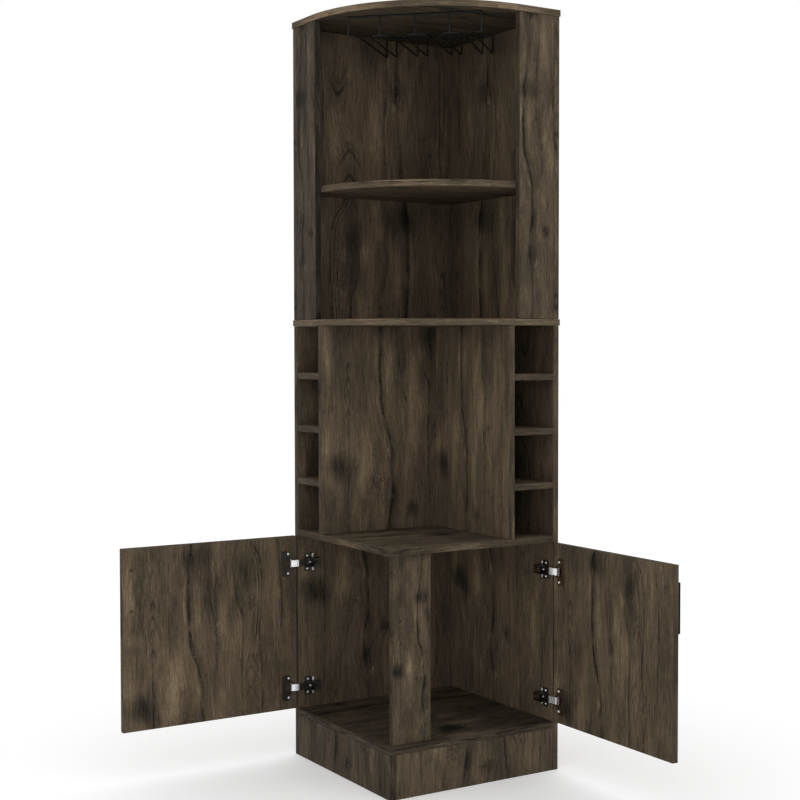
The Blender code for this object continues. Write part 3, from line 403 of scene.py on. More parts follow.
def makeOakPrint():
    sheet, weights, pen = oakSheet, oakSheet["weights"], SheetTree()
    tree, result, bent = pen.tree, pen.result, leanGrain(pen)

    # each fibre ends at its own height, so a patch has combed ends and ragged sides
    comb, ragged = pen.stray("comb", bent), pen.stray("ragged")
    unsteady = pen.point(pen.plus(pen.u, ragged), pen.plus(pen.v, comb))
    softly = pen.point(pen.plus(pen.u, ragged), pen.times(comb, sheet["softComb"], pen.v))
    combed = pen.plus(pen.along, comb)
    fibres = pen.layer("fibres", bent)
    laid = {"streaks": pen.layer("streaks", bent, combed), "fibres": fibres, "dust": pen.layer("dust", bent)}
    tone = -0.5 * sum(weights[name] for name in laid)   # these three darken as much as they lighten
    laid.update({name: pen.layer(name, bent, combed) for name in ("patches", "darkLines", "paleLines")})
    laid.update({"haze": pen.layer("haze"), "pale": pen.blots(unsteady, sheet["pale"])})
    for name, value in laid.items():
        tone = pen.times(value, weights[name], tone)
    cloud = pen.times(pen.blots(softly, sheet["clouds"]), sheet["blotDepth"])
    wobble = pen.stray("wobble")
    tone = markCracks(pen, pen.minus(tone, cloud), wobble)
    tone = markArrowheads(pen, tone, wobble)
    tone = markKnots(pen, tone, bent, unsteady)
    colour = blendStops(tree, pen.plus(tone, pen.given["Tone"]), sheet["stops"])

    # greyer in the clouds
    grey = pen.minus(pen.fade(cloud, *sheet["greyFrom"]), pen.layer("warmth"))
    plain, clouded = sheet["hues"]
    hue = addNode(tree, "Mix", {0: grey, 6: plain, 7: clouded}, data_type="RGBA", clamp_factor=False)
    inputs = {0: 1.0, 6: colour, 7: hue.outputs[2]}
    tinted = addNode(tree, "Mix", inputs, data_type="RGBA", blend_type="MULTIPLY")
    connect(tree, tinted.outputs[2], result["Colour"])
    rough, swing = sheet["roughness"]
    connect(tree, pen.times(pen.minus(fibres, 0.5), swing, rough), result["Roughness"])
    parts = sheet["relief"]
    relief = pen.times(pen.layer("pores", bent), parts["pores"], pen.times(fibres, parts["fibres"]))
    connect(tree, relief, result["Relief"])
    return tree


# Which way the print lies on each face of a board

facing = {"broad": 0.75, "square": 0.98}   # how squarely a face looks along an axis, 1 for quite


def makeBoardFaces():
    inputs = [("Thickness", "vector"), ("Across", "vector"), ("Grain", "vector")]
    outputs = [("Across", "number"), ("Along", "number"), ("Edge", "number"), ("Side", "number")]
    tree, given, result = newGroup("boardFaces", inputs, outputs)
    surface = addNode(tree, "TexCoord").outputs
    place, normal = surface["Object"], surface["Normal"]

    def looksAlong(axis, least):
        return calc(tree, "GREATER_THAN", calc(tree, "ABSOLUTE", dot(tree, normal, given[axis])), least)

    def choose(share, no, yes):
        mixed = addNode(tree, "Mix", {0: share, 2: no, 3: yes}, data_type="FLOAT")
        return mixed.outputs[0]

    broad = looksAlong("Thickness", facing["broad"])
    atEnd, atSide = (looksAlong(axis, facing["square"]) for axis in ("Grain", "Across"))
    through, over, down = (dot(tree, place, given[axis]) for axis in ("Thickness", "Across", "Grain"))
    slant = calc(tree, "MULTIPLY", calc(tree, "SUBTRACT", down, over), math.sqrt(0.5))
    edgeAlong = choose(atEnd, choose(atSide, slant, down), over)
    connect(tree, choose(broad, through, over), result["Across"])
    connect(tree, choose(broad, edgeAlong, down), result["Along"])
    connect(tree, calc(tree, "SUBTRACT", 1.0, broad), result["Edge"])
    connect(tree, calc(tree, "SIGN", dot(tree, normal, given["Thickness"])), result["Side"])
    return tree


def newMaterial(name):
    material = bpy.data.materials.new(name)
    material.use_nodes = True
    tree = material.node_tree
    tree.nodes.clear()
    shader = addNode(tree, "BsdfPrincipled")
    output = addNode(tree, "OutputMaterial")
    tree.links.new(shader.outputs[0], output.inputs["Surface"])
    return material, tree, shader


boards = {
    # where a board's seen face lies on the print sheet, in metres:
    # side seen (0 for none), then scale and start across, scale and start along
    "lies": {
        "left_door": (-1, 1.0, 0.9145, 1.0, -0.007),
        "right_door": (-1, -1.05, -0.4855, 1.0, -0.007),
        "left_partition": (-1, 1.0, 0.464, 1.0, -0.561),
        "right_partition": (-1, -1.39, -0.1974, 1.0, -0.561),
        "lower_left_wall": (-1, 1.0, 0.464, 1.0, -0.249),
        "lower_right_wall": (-1, -1.0, -0.015, 1.0, -0.249),
        "upper_left_wall": (-1, -0.8475, 0.0375, 0.769, -0.5147),
        "upper_right_wall": (-1, -0.844, 0.035, 0.769, -0.5147),
        "left_stile": (-1, -1.4, 0.125, 1.4, -1.745),
        "right_stile": (-1, 1.4, 0.307, 1.4, -1.745),
        "front_post": (-1, 2.0, 0.928, 2.2, -0.470),
        "left_plinth": (-1, -1.0, -0.012, 1.0, 0.010),
        "right_plinth": (-1, 1.0, 0.457, 1.0, 0.010),
        "top_board": (0, 1.0, 0.2925, 1.0, -0.180),
    },
    # across, along, random: from one unlisted board to the next, and from the seen face to the others
    "strides": (0.173, 0.317, 0.83),
    "shifts": (0.29, 0.41, 0.37),
    "tone": 0.595,
    # boards printed darker or lighter: painted light and shade, each board's print set darker where it stands
    # in more shade and lighter where more light falls on it
    "paintedLightTones": {
        "left_stile": -0.19,
        "top_board": -0.13,
        "upper_shelf": -0.04,
        "right_stile": -0.06,
        "base_floor": -0.18,
        "counter": -0.06,
        "left_plinth": -0.09,
        "right_plinth": -0.02,
        "front_post": -0.03,
        "left_door": 0.05,
        "left_partition": 0.02,
        "right_partition": 0.04,
        "right_door": 0.01,
        "middle_shelf": 0.10,
        "lower_right_wall": 0.04,
        "upper_right_wall": 0.07,
        "upper_left_wall": 0.03,
    },
    # how much darker or lighter the edges are than the faces: partly the edge bands' own colour, partly
    # painted shade, as the darker default also darkens the edges in the narrow gaps behind the doors
    "edge": -0.13,
    "edges": {
        "top_board": 0.20,
        "upper_shelf": 0.12,
        "middle_shelf": -0.04,
        "counter": -0.07,
        "base_floor": 0.02,
    },
    "relief": 0.00005,   # metres
    "gloss": 0.04,
}
axes = {"x": (1.0, 0.0, 0.0), "y": (0.0, 1.0, 0.0), "z": (0.0, 0.0, 1.0)}


def oakMaterial(name, number, oak, faces):
    low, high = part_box(name)
    lengths = dict(zip("xyz", high - low))
    thin = min(lengths, key=lengths.get)
    grain = "x" if thin == "z" else "z"
    over = next(axis for axis in "xyz" if axis not in (thin, grain))
    material, tree, shader = newMaterial("oak_" + name)
    lay = addNode(tree, "Group", node_tree=faces)
    for key, axis in (("Thickness", thin), ("Across", over), ("Grain", grain)):
        connect(tree, axes[axis], lay.inputs[key])

    # a board without a place on the sheet gets one from its number
    strideAcross, strideAlong, strideSeed = boards["strides"]
    shiftAcross, shiftAlong, shiftSeed = boards["shifts"]
    seen, *lie = boards["lies"].get(name, (0, 1.0, strideAcross * number, 1.0, strideAlong * number))
    elsewhere = calc(tree, "COMPARE", lay.outputs["Side"], float(seen), 0.5)
    face = calc(tree, "SUBTRACT", 1.0, lay.outputs["Edge"])
    elsewhere = calc(tree, "SUBTRACT", 1.0, calc(tree, "MULTIPLY", elsewhere, face))
    printed = addNode(tree, "Group", node_tree=oak)
    for key, scale, start, shift in (("Across", *lie[:2], shiftAcross), ("Along", *lie[2:], shiftAlong)):
        place = calc(tree, "MULTIPLY_ADD", lay.outputs[key], scale, start)
        place = calc(tree, "MULTIPLY_ADD", elsewhere, shift, place)
        connect(tree, place, printed.inputs[key])
    seed = calc(tree, "MULTIPLY_ADD", elsewhere, shiftSeed, 1.0 + strideSeed * number)
    connect(tree, seed, printed.inputs["Board"])
    # the print's tone, with the board's painted light and shade from its table
    tone = boards["tone"] + boards["paintedLightTones"].get(name, 0.0)
    # edges get their own tone, which also holds painted shade in the gaps behind the doors
    tone = calc(tree, "MULTIPLY_ADD", lay.outputs["Edge"], boards["edges"].get(name, boards["edge"]), tone)
    connect(tree, tone, printed.inputs["Tone"])
    bump = addNode(tree, "Bump", {"Height": printed.outputs["Relief"], "Distance": boards["relief"]})
    connect(tree, printed.outputs["Colour"], shader.inputs["Base Color"])
    connect(tree, printed.outputs["Roughness"], shader.inputs["Roughness"])
    connect(tree, bump.outputs["Normal"], shader.inputs["Normal"])
    shader.inputs["Specular IOR Level"].default_value = boards["gloss"]
    return material


# colour, metallic, roughness, gloss, grain per metre, relief in metres
metals = {
    "blackCoat": (paint(11, 11, 11), 0.0, 0.46, 0.05, 2500, 0.00003),
    "blackWire": (paint(12, 12, 13), 0.0, 0.34, 0.28, 2500, 0.00002),
    "darkNickel": (paint(68, 65, 60), 0.85, 0.38, 0.5, 1500, 0.00001),
    # nickel tinted brown: a painted reflection of the oak around it
    "paintedOakReflectionNickel": (paint(104, 86, 66), 0.80, 0.34, 0.5, 1500, 0.00001),
    # near white and partly diffuse, so every face stays white: the nickel's own shine, partly a painted
    # reflection of the white room
    "paintedShineNickel": (paint(250, 250, 250), 0.75, 0.20, 0.5, 900, 0.000004),
    "screwSteel": (paint(245, 245, 243), 0.7, 0.25, 0.5, 1800, 0.000004),
    "bronzeCoat": (paint(82, 71, 57), 0.0, 0.55, 0.1, 1800, 0.00001),
}
metalWear = {
    "patch": 14,            # a patch's size, in grains
    "darkest": 0.86,
    "duller": 0.08,
    "shinier": 0.06,
    "range": (0.3, 0.7),    # of the noise, from the least wear to the most
    "detail": (3.0, 4.0),   # of the grain and of the patches
}


def metalMaterial(name):
    colour, metallic, roughness, gloss, grain, relief = metals[name]
    material, tree, shader = newMaterial(name)
    place = addNode(tree, "TexCoord").outputs["Object"]
    speckle, wear = (
        addNode(tree, "TexNoise", {"Vector": place, "Scale": scale, "Detail": detail})
        for scale, detail in zip((grain, grain / metalWear["patch"]), metalWear["detail"])
    )
    tone = fade(tree, wear.outputs["Fac"], *metalWear["range"], metalWear["darkest"], 1.0)
    shade = addNode(tree, "Mix", {0: 1.0, 6: colour}, data_type="RGBA", blend_type="MULTIPLY")
    connect(tree, tone, shade.inputs[7])
    connect(tree, shade.outputs[2], shader.inputs["Base Color"])
    shader.inputs["Metallic"].default_value = metallic
    shader.inputs["Specular IOR Level"].default_value = gloss
    low, high = roughness - metalWear["shinier"], roughness + metalWear["duller"]
    dull = fade(tree, speckle.outputs["Fac"], *metalWear["range"], low, high)
    connect(tree, dull, shader.inputs["Roughness"])
    bump = addNode(tree, "Bump", {"Height": speckle.outputs["Fac"], "Distance": relief})
    connect(tree, bump.outputs["Normal"], shader.inputs["Normal"])
    return material


def finishFor(name):
    if "handle_screw" in name or "hinge_pin" in name or name.endswith("_screw"):
        return "screwSteel"
    if name.startswith("rack") or "handle" in name:
        return "blackCoat"
    if "hinge_link" in name:
        return "paintedShineNickel"
    return "darkNickel" if "hinge" in name else "oak"


def dressNodes():
    oak, faces = makeOakPrint(), makeBoardFaces()
    metal = {name: metalMaterial(name) for name in metals}
    for number, (name, node) in enumerate(sorted(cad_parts.items())):
        finish = finishFor(name)
        material = oakMaterial(name, number, oak, faces) if finish == "oak" else metal[finish]
        for place in node.material_slots:
            place.material = material
    return metal


# Shapes that the fittings share. A fitting is drawn in its side's own directions:
# depth in from the front edge of the cabinet, reach off the wall, and height.

def newObject(name, bm):
    mesh = bpy.data.meshes.new(name)
    bm.to_mesh(mesh)
    bm.free()
    thing = bpy.data.objects.new(name, mesh)
    bpy.context.scene.collection.objects.link(thing)
    return thing


cabinet = {"side": 0.464, "board": 0.015}   # along a wall, and a board's thickness


def sideFrame(side):
    front, wall = -cabinet["side"], -cabinet["board"]
    if side == "left":
        return Matrix(((1, 0, 0, front), (0, -1, 0, wall), (0, 0, 1, 0), (0, 0, 0, 1)))
    return Matrix(((0, -1, 0, wall), (1, 0, 0, front), (0, 0, 1, 0), (0, 0, 0, 1)))


def sideBox(name, side):
    # a CAD node's box in its side's own directions
    home = sideFrame(side).inverted()
    corners = [home @ Vector(corner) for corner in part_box(name)]
    low = Vector([min(values) for values in zip(*corners)])
    high = Vector([max(values) for values in zip(*corners)])
    return low, high


def arc(x, y, radius, start, end, steps):
    turns = [math.radians(start + (end - start) * step / steps) for step in range(steps + 1)]
    return [(x + radius * math.cos(turn), y + radius * math.sin(turn)) for turn in turns]


def circle(x, y, radius, points):
    return arc(x, y, radius, 0, 360 - 360 / points, points - 1)


def roundedBox(low, high, radius, steps=5):
    (x0, y0), (x1, y1) = low, high
    points = []
    for x, y, start in ((x1 - radius, y1 - radius, 0), (x0 + radius, y1 - radius, 90),
                        (x0 + radius, y0 + radius, 180), (x1 - radius, y0 + radius, 270)):
        points += arc(x, y, radius, start, start + 90, steps)
    return points


def stamp(bm, outline, holes, base, rise, spread):
    # sheet metal: an outline with holes, laid out by spread(x, y) and made rise thick
    fresh = []
    for loop in [outline] + list(holes):
        points = [bm.verts.new(Vector(base) + spread(x, y)) for x, y in loop]
        fresh += [bm.edges.new((a, b)) for a, b in zip(points, points[1:] + points[:1])]
    filled = bmesh.ops.triangle_fill(bm, use_beauty=True, use_dissolve=False, edges=fresh)
    faces = [item for item in filled["geom"] if isinstance(item, bmesh.types.BMFace)]
    grown = bmesh.ops.extrude_face_region(bm, geom=faces, use_keep_orig=True)
    lid = [item for item in grown["geom"] if isinstance(item, bmesh.types.BMVert)]
    bmesh.ops.translate(bm, verts=lid, vec=Vector(rise))


# How stamp lays an outline out: on a wall or a door, standing out from it, or flat

def upright(x, z):
    return Vector((x, 0, z))


def outward(y, z):
    return Vector((0, y, z))


def lying(x, y):
    return Vector((x, y, 0))


def axesAlong(direction):
    # the direction, and two more at right angles to it
    direction = Vector(direction).normalized()
    start = Vector((0, 0, 1)) if abs(direction.z) < 0.5 else Vector((1, 0, 0))
    across = start.cross(direction).normalized()
    return direction, across, direction.cross(across)


def turned(bm, profile, base, direction, sides=32):
    # spins (distance, radius) pairs round a line; a radius of zero closes an end
    direction, across, up = axesAlong(direction)
    rings = []
    for distance, radius in profile:
        centre = Vector(base) + direction * distance
        if radius == 0:
            rings.append([bm.verts.new(centre)] * sides)
            continue
        ways = [across * math.cos(turn) + up * math.sin(turn)
                for turn in (math.tau * step / sides for step in range(sides))]
        rings.append([bm.verts.new(centre + way * radius) for way in ways])
    for near, far in zip(rings, rings[1:]):
        for step in range(sides):
            after = (step + 1) % sides
            corners = list(dict.fromkeys((near[step], near[after], far[after], far[step])))
            bm.faces.new(corners)


screws = {
    "headRadius": 0.0038,
    "headHeight": 0.0016,
    "recessReach": 0.58,   # of the head's radius
    "recessWidth": 0.17,
    "recessDepth": 0.62,   # of the head's height
    "recessTaper": 0.7,
    # the dome: shares of the radius and of the height
    "dome": [(1.0, 0.0), (1.0, 0.30), (0.95, 0.58), (0.84, 0.82), (0.70, 0.95)],
    "sides": 24,
}


def crossHead(bm, base, direction, radius=None, height=None):
    # a low domed screw head with a cross-shaped recess
    look = screws
    radius, height = radius or look["headRadius"], height or look["headHeight"]
    direction, across, up = axesAlong(direction)
    sides, taper = look["sides"], look["recessTaper"]

    def ring(points, lift):
        return [bm.verts.new(Vector(base) + across * x + up * y + direction * lift) for x, y in points]

    def loop(items):
        return zip(items, items[1:] + items[:1])

    rings = [ring(circle(0, 0, radius * size, sides), lift * height) for size, lift in look["dome"]]
    bm.faces.new(rings[0])
    for near, far in zip(rings, rings[1:]):
        for (a, b), (d, c) in zip(loop(near), loop(far)):
            bm.faces.new((a, b, c, d))
    long, wide = look["recessReach"] * radius, look["recessWidth"] * radius
    quarter = [(wide, wide), (wide * taper, long), (-wide * taper, long)]
    cross = []
    for turn in range(4):
        c, s = math.cos(turn * math.pi / 2), math.sin(turn * math.pi / 2)
        cross += [(x * c - y * s, x * s + y * c) for x, y in quarter]
    mouth = ring(cross, height)
    edges = [bm.edges.get(pair) for pair in loop(rings[-1])] + [bm.edges.new(pair) for pair in loop(mouth)]
    bmesh.ops.triangle_fill(bm, use_beauty=True, use_dissolve=False, edges=edges)
    floor = ring([(x * taper, y * taper) for x, y in cross], height * (1 - look["recessDepth"]))
    for (a, b), (d, c) in zip(loop(mouth), loop(floor)):
        bm.faces.new((a, b, c, d))
    bm.faces.new(floor)


def declare(thing, body, slot, nodes):
    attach(thing, body)
    for node in nodes:
        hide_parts(node)


softEdges = {"segments": 2, "angle": 40, "sharp": 35}   # edges over the angle are rounded or drawn sharp


def finishPiece(name, bm, frameMatrix, body, finish, slot, bevel=0.0, nodes=(), sharp=softEdges["sharp"]):
    if frameMatrix:
        bmesh.ops.transform(bm, matrix=frameMatrix, verts=bm.verts)
    bmesh.ops.recalc_face_normals(bm, faces=bm.faces)
    thing = newObject(name, bm)
    thing.data.materials.append(metalFinish[finish])
    thing.data.shade_smooth()
    thing.data.set_sharp_from_angle(angle=math.radians(sharp))
    if bevel:
        edges = thing.modifiers.new("softEdges", "BEVEL")
        edges.width, edges.segments, edges.limit_method = bevel, softEdges["segments"], "ANGLE"
        edges.angle_limit = math.radians(softEdges["angle"])
        edges.use_clamp_overlap = True
        edges.harden_normals = True
    declare(thing, body, slot, nodes)
    return thing


# Concealed hinges: cup and flange in the door, link, channel arm and plate on the wall.
# Depths run in from the cabinet's front edge, in metres.

hinges = {
    "bevel": 0.00035,
    "flange": {"left": "darkNickel", "right": "paintedOakReflectionNickel"},   # the right ones are tinted brown: a painted reflection of the oak
    # both bowls are painted brown, the left in a brown coat and the right in the tinted nickel: a painted
    # reflection of the oak
    "bowl": {"left": "bronzeCoat", "right": "paintedOakReflectionNickel"},
}

hingeCup = {
    "centre": -0.0275,      # depth
    "radius": 0.0173,
    "inside": 0.0156,
    "depth": 0.022,         # of the flange, to where the cup's round lip starts
    "corner": 0.0045,
    "nick": 0.001,
    "sheet": 0.0015,
    "mouth": (-0.0372, -0.0140, 0.0106),   # depth from and to, half height
    "mouthCorner": 0.0030,
    # the bowl's section in millimetres: height over its floor and step out from the inner radius,
    # first up outside, then over the rim (height under the flange's face), then down inside
    "outside": [(0, -3.2), (0.8, -0.8), (2.2, 0.6)],
    "rim": [(-2.0, 1.0), (-1.6, 0.8), (-1.6, 0.2), (-2.0, 0)],
    "down": [(2.2, -0.6), (1.2, -1.8), (0.9, -4.0)],
    "screws": 0.024,        # above and below the middle
    "head": 0.0031,
}


def fitting(side, level, part, bm, body, finish, slot, bevel=0.0, nodes=()):
    name = f"{side}_{level}_{part}"
    finishPiece(name, bm, sideFrame(side), body, finish, slot, bevel, nodes)


def makeHingeCup(side, level):
    look = hingeCup
    node, leaf = f"{side}_{level}_hinge_cup", f"{side}_door_leaf"
    low, high = sideBox(node, side)
    middle, half = (low.z + high.z) / 2, (high.z - low.z) / 2
    centre, radius, corner, nick = (look[name] for name in ("centre", "radius", "corner", "nick"))
    top = high.y - screws["headHeight"]
    left, right = low.x, low.x + look["depth"]
    meet = math.degrees(math.acos((right - centre) / radius))
    outline = [(right, half - nick), (right - nick, half)]
    outline += arc(left + corner, half - corner, corner, 90, 180, 6)
    outline += arc(left + corner, corner - half, corner, 180, 270, 6)
    outline += [(right - nick, -half), (right, nick - half)]
    outline += arc(centre, 0, radius, -meet, meet, 20)
    near, far, tall = look["mouth"]
    mouth = roundedBox((near, -tall), (far, tall), look["mouthCorner"], 4)
    bm = bmesh.new()
    stamp(bm, outline, [mouth], (0, top - look["sheet"], middle), (0, look["sheet"], 0), upright)
    finish, bevel = hinges["flange"][side], hinges["bevel"]
    fitting(side, level, "cup_flange", bm, leaf, finish, "hinge_dark", bevel, [node])

    def section(pairs, floor):
        return [(floor + lift / 1000, look["inside"] + step / 1000) for lift, step in pairs]

    bm = bmesh.new()
    floor = low.y - top
    bowl = section(look["outside"], floor) + section(look["rim"], 0) + section(look["down"], floor)
    turned(bm, [(bowl[0][0], 0)] + bowl + [(bowl[-1][0], 0)], (centre, top, middle), (0, 1, 0), 40)
    fitting(side, level, "cup_bowl", bm, leaf, hinges["bowl"][side], "hinge_dark")
    bm = bmesh.new()
    for offset in (-look["screws"], look["screws"]):
        crossHead(bm, (centre, top, middle + offset), (0, 1, 0), look["head"])
    fitting(side, level, "cup_screws", bm, leaf, "screwSteel", "screw_steel")


# A pressed bar: a body over the cup, painted near white as a painted reflection of the white room, and a tail
# in plain dark nickel that slides in the arm

hingeLink = {
    "pin": (0.0032, 0.0026),    # from the box's front and lowest edges
    "eye": 0.0025,
    "neck": [(0.0028, 0.0052), (0.0036, 0.0042)],   # past the pin, and under the top
    "thick": 0.0040,
    "tail": (0.0040, 0.0030),
    "tip": (0.0015, 0.0014),
    "crest": (0.0018, 0.0020),
    "shoulder": (0.0024, 0.0018),
    "fall": 0.0030,             # how far the shoulder falls towards the door
    "shine": {"left": -0.0016, "right": 0.0045},   # depth where the body's painted reflection ends; it differs by side, as the light falls on each side differently
    "bodySlim": 0.0009,
    "bodyBevel": 0.0006,
    "tailSlim": 0.0020,
}


def makeHingeLink(side, level):
    look = hingeLink
    node, link = f"{side}_{level}_hinge_link", f"{side}_{level}_link"
    low, high = sideBox(node, side)
    pin = Vector((low.x + look["pin"][0], low.y + look["pin"][1]))
    top, cut, thick = high.y, look["shine"][side], look["thick"]
    front = arc(pin.x, pin.y, look["eye"], 200, 340, 8)
    front += [(pin.x + depth, top - under) for depth, under in look["neck"]]
    front += [(cut, top - thick), (cut, top)]
    under, radius = look["crest"]
    front += arc(cut - under, top - radius, radius, 90, 105, 2)
    depth, radius = look["shoulder"]
    front += arc(low.x + depth, top - look["fall"] - radius, radius, 105, 172, 4)
    depth, under = look["tail"]
    edge, radius = look["tip"]
    rear = [(cut, top - thick), (cut + depth, top - under)]
    rear += arc(high.x - edge, top - edge, radius, -90, 90, 6) + [(cut, top)]
    for part, outline, slim, finish, slot, bevel, nodes in (
            ("body", front, look["bodySlim"], "paintedShineNickel", "hinge_bright", look["bodyBevel"], [node]),
            ("tail", rear, look["tailSlim"], "darkNickel", "hinge_dark", hinges["bevel"], [])):
        bm = bmesh.new()
        stamp(bm, outline, [], (0, 0, low.z + slim), (0, 0, high.z - low.z - 2 * slim), lying)
        fitting(side, level, "link_" + part, bm, link, finish, slot, bevel, nodes)


hingeArm = {
    "sheet": 0.0012,
    "rearCorner": 0.0020,
    "nose": (0.0075, 0.0060, 0.0050),   # depth, radius, height of its foot
    "webStart": 0.018,
    "webEnd": 0.0008,
    "web": (0.0015, 0.0013),            # under the top, thickness
    "slots": (0.0395, 0.0465),          # depths
    "slotSize": (0.0024, 0.0042, 0.0018),
    "screw": (0.0315, 0.0006, 0.0027, 0.0024),   # depth, lift, radius, height
}


def makeHingeArm(side, level):
    look = hingeArm
    low, high = sideBox(f"{side}_{level}_hinge_arm", side)
    middle, sheet, corner = (low.z + high.z) / 2, look["sheet"], look["rearCorner"]
    depth, radius, foot = look["nose"]
    bm = bmesh.new()
    cheek = [(low.x, low.y), (high.x, low.y)] + arc(high.x - corner, high.y - corner, corner, 0, 90, 4)
    cheek += arc(low.x + depth, high.y - radius, radius, 90, 150, 5) + [(low.x, low.y + foot)]
    for bottom in (low.z, high.z - sheet):
        stamp(bm, cheek, [], (0, 0, bottom), (0, 0, sheet), lying)
    tall, end = high.z - middle - sheet, look["webEnd"]
    web = roundedBox((low.x + look["webStart"], -tall), (high.x - end, tall), end, 3)
    wide, long, corner = look["slotSize"]
    slots = [roundedBox((place - wide, -long), (place + wide, long), corner, 4) for place in look["slots"]]
    under, thick = look["web"]
    stamp(bm, web, slots, (0, high.y - under, middle), (0, thick, 0), upright)
    fitting(side, level, "arm_channel", bm, "cabinet", "darkNickel", "hinge_dark", hinges["bevel"],
            [f"{side}_{level}_hinge_arm"])
    bm = bmesh.new()
    depth, lift, radius, height = look["screw"]
    crossHead(bm, (depth, low.y + lift, middle), (0, 1, 0), radius, height)
    fitting(side, level, "arm_screw", bm, "cabinet", "screwSteel", "screw_steel")


hingePlate = {
    "foot": 0.0003,         # off the wall
    "sheet": 0.0018,
    "top": 0.0035,
    "wings": (0.0175, 0.0446),   # depth from and to
    "wingCorner": 0.0035,
    "pad": (0.0500, 0.011, 0.0020),   # depth of its end, half height, corner
    "ridge": (0.0008, 0.0004, 0.0016),   # in from the plate's ends, in from the pad, corner
    "screws": (0.0398, 0.0160, 0.0025, 0.0016),   # depth, offset, radius, height
    "boss": (0.0026, 0.0036, 0.0008),   # half length, radius, rise
    "slot": (0.0028, 0.0026, 0.0004),
    "frontScrews": (0.0255, 0.0160, 0.0030),
}


def longHole(depth, middle, reach, radius):
    return arc(depth, middle + reach, radius, 0, 180, 8) + arc(depth, middle - reach, radius, 180, 360, 8)


def makeHingePlate(side, level):
    look = hingePlate
    node = f"{side}_{level}_hinge_plate"
    low, high = sideBox(node, side)
    middle, half = (low.z + high.z) / 2, (high.z - low.z) / 2
    foot, sheet, corner = look["foot"], look["sheet"], look["wingCorner"]
    (start, stop), (end, pad, padCorner) = look["wings"], look["pad"]
    outline = arc(stop - corner, half - corner, corner, 0, 90, 5)
    outline += arc(start + corner, half - corner, corner, 90, 180, 5)
    outline += arc(start + corner, corner - half, corner, 180, 270, 5)
    outline += arc(stop - corner, corner - half, corner, 270, 360, 5)
    outline += [(stop, -pad)] + arc(end - padCorner, padCorner - pad, padCorner, 270, 360, 4)
    outline += arc(end - padCorner, pad - padCorner, padCorner, 0, 90, 4) + [(stop, pad)]
    bm = bmesh.new()

    def raised(shape, lift, rise):
        stamp(bm, shape, [], (0, foot + lift, middle), (0, rise, 0), upright)

    raised(outline, 0, sheet)
    inset, shy, ridgeCorner = look["ridge"]
    ridge = roundedBox((start + inset, shy - pad), (end - inset, pad - shy), ridgeCorner, 4)
    raised(ridge, sheet, look["top"] - foot - sheet)
    at, offset, radius, height = look["screws"]
    reach, bossRadius, rise = look["boss"]
    for sign in (-1, 1):
        raised(longHole(at, sign * offset, reach, bossRadius), sheet, rise)
    fitting(side, level, "mounting_plate", bm, "cabinet", "darkNickel", "hinge_dark", hinges["bevel"], [node])
    bm = bmesh.new()
    slotReach, slotRadius, slotRise = look["slot"]
    frontAt, frontOffset, frontRadius = look["frontScrews"]
    for sign in (-1, 1):
        raised(longHole(at, sign * offset, slotReach, slotRadius), sheet + rise, slotRise)
        crossHead(bm, (at, foot + sheet + rise + slotRise, middle + sign * offset), (0, 1, 0), radius, height)
        crossHead(bm, (frontAt, foot + sheet, middle + sign * frontOffset), (0, 1, 0), frontRadius)
    fitting(side, level, "plate_screws", bm, "cabinet", "screwSteel", "screw_steel")


# Bar handles, each on two square feet

handles = {"section": 0.008, "feet": 0.096, "bevel": 0.0009, "bevelSteps": 3}


def makeHandle(side):
    look = handles
    node = f"{side}_handle"
    low, high = sideBox(node, side)
    middle, foot, out = (low.z + high.z) / 2, high.y, low.y
    half, section = (high.z - low.z) / 2, look["section"]
    neck = out + section
    outer, inner = look["feet"] / 2 + section / 2, look["feet"] / 2 - section / 2
    outline = [(foot, outer), (neck, outer), (neck, half), (out, half), (out, -half), (neck, -half),
               (neck, -outer), (foot, -outer), (foot, -inner), (neck, -inner), (neck, inner), (foot, inner)]
    bm = bmesh.new()
    stamp(bm, outline, [], (low.x, 0, middle), (section, 0, 0), outward)
    leaf = f"{side}_door_leaf"
    bar = finishPiece(f"{side}_bar_handle", bm, sideFrame(side), leaf, "blackCoat", "black_metal",
                      look["bevel"], [node])
    bar.modifiers["softEdges"].segments = look["bevelSteps"]
    bm = bmesh.new()
    names = [f"{side}_{level}_handle_screw" for level in levels]
    for name in names:
        low, high = sideBox(name, side)
        crossHead(bm, ((low.x + high.x) / 2, high.y - screws["headHeight"], (low.z + high.z) / 2), (0, 1, 0))
    finishPiece(f"{side}_handle_screws", bm, sideFrame(side), leaf, "bronzeCoat", "screw_steel", 0, names)


# The glass rack: bent wire runners welded to two bars. It is drawn along the diagonal:
# first away from the front corner, then across towards the right wall, then height.

rack = {
    "aside": 0.0028,       # to the right of the diagonal
    "slot": 0.025,
    "noses": (0.024, 0.027, 0.031, 0.027, 0.024),   # each runner's round nose, from left to right
    "wire": 0.002,
    "bend": 0.005,
    "noseStep": 9,         # degrees
    "sharp": 60,           # degrees, for the weld beads
    "tab": (0.016, 0.018, 0.0015),   # length, width, thickness
    "tabCorner": 0.0045,
    "tabBevel": 0.0003,
    "tabHole": (0.6, 0.0022),        # share of the length, radius
    "tabScrew": (0.0002, 0.0015),    # over the tab, height
    # a weld's section in millimetres along the wire and out from it, and how far it sits up the hanger
    "weld": [(-3.1, 0), (-3, 1.9), (-2.2, 2.3), (-0.8, 2.79), (0.8, 2.666), (1.8, 2.2), (2.4, 1.9), (2.5, 0)],
    "weldLift": 0.0010,
}


def rackFrame():
    half = math.sqrt(0.5)
    corner = -cabinet["side"]
    return Matrix(((half, half, 0, corner), (half, -half, 0, corner), (0, 0, 1, 0), (0, 0, 0, 1)))


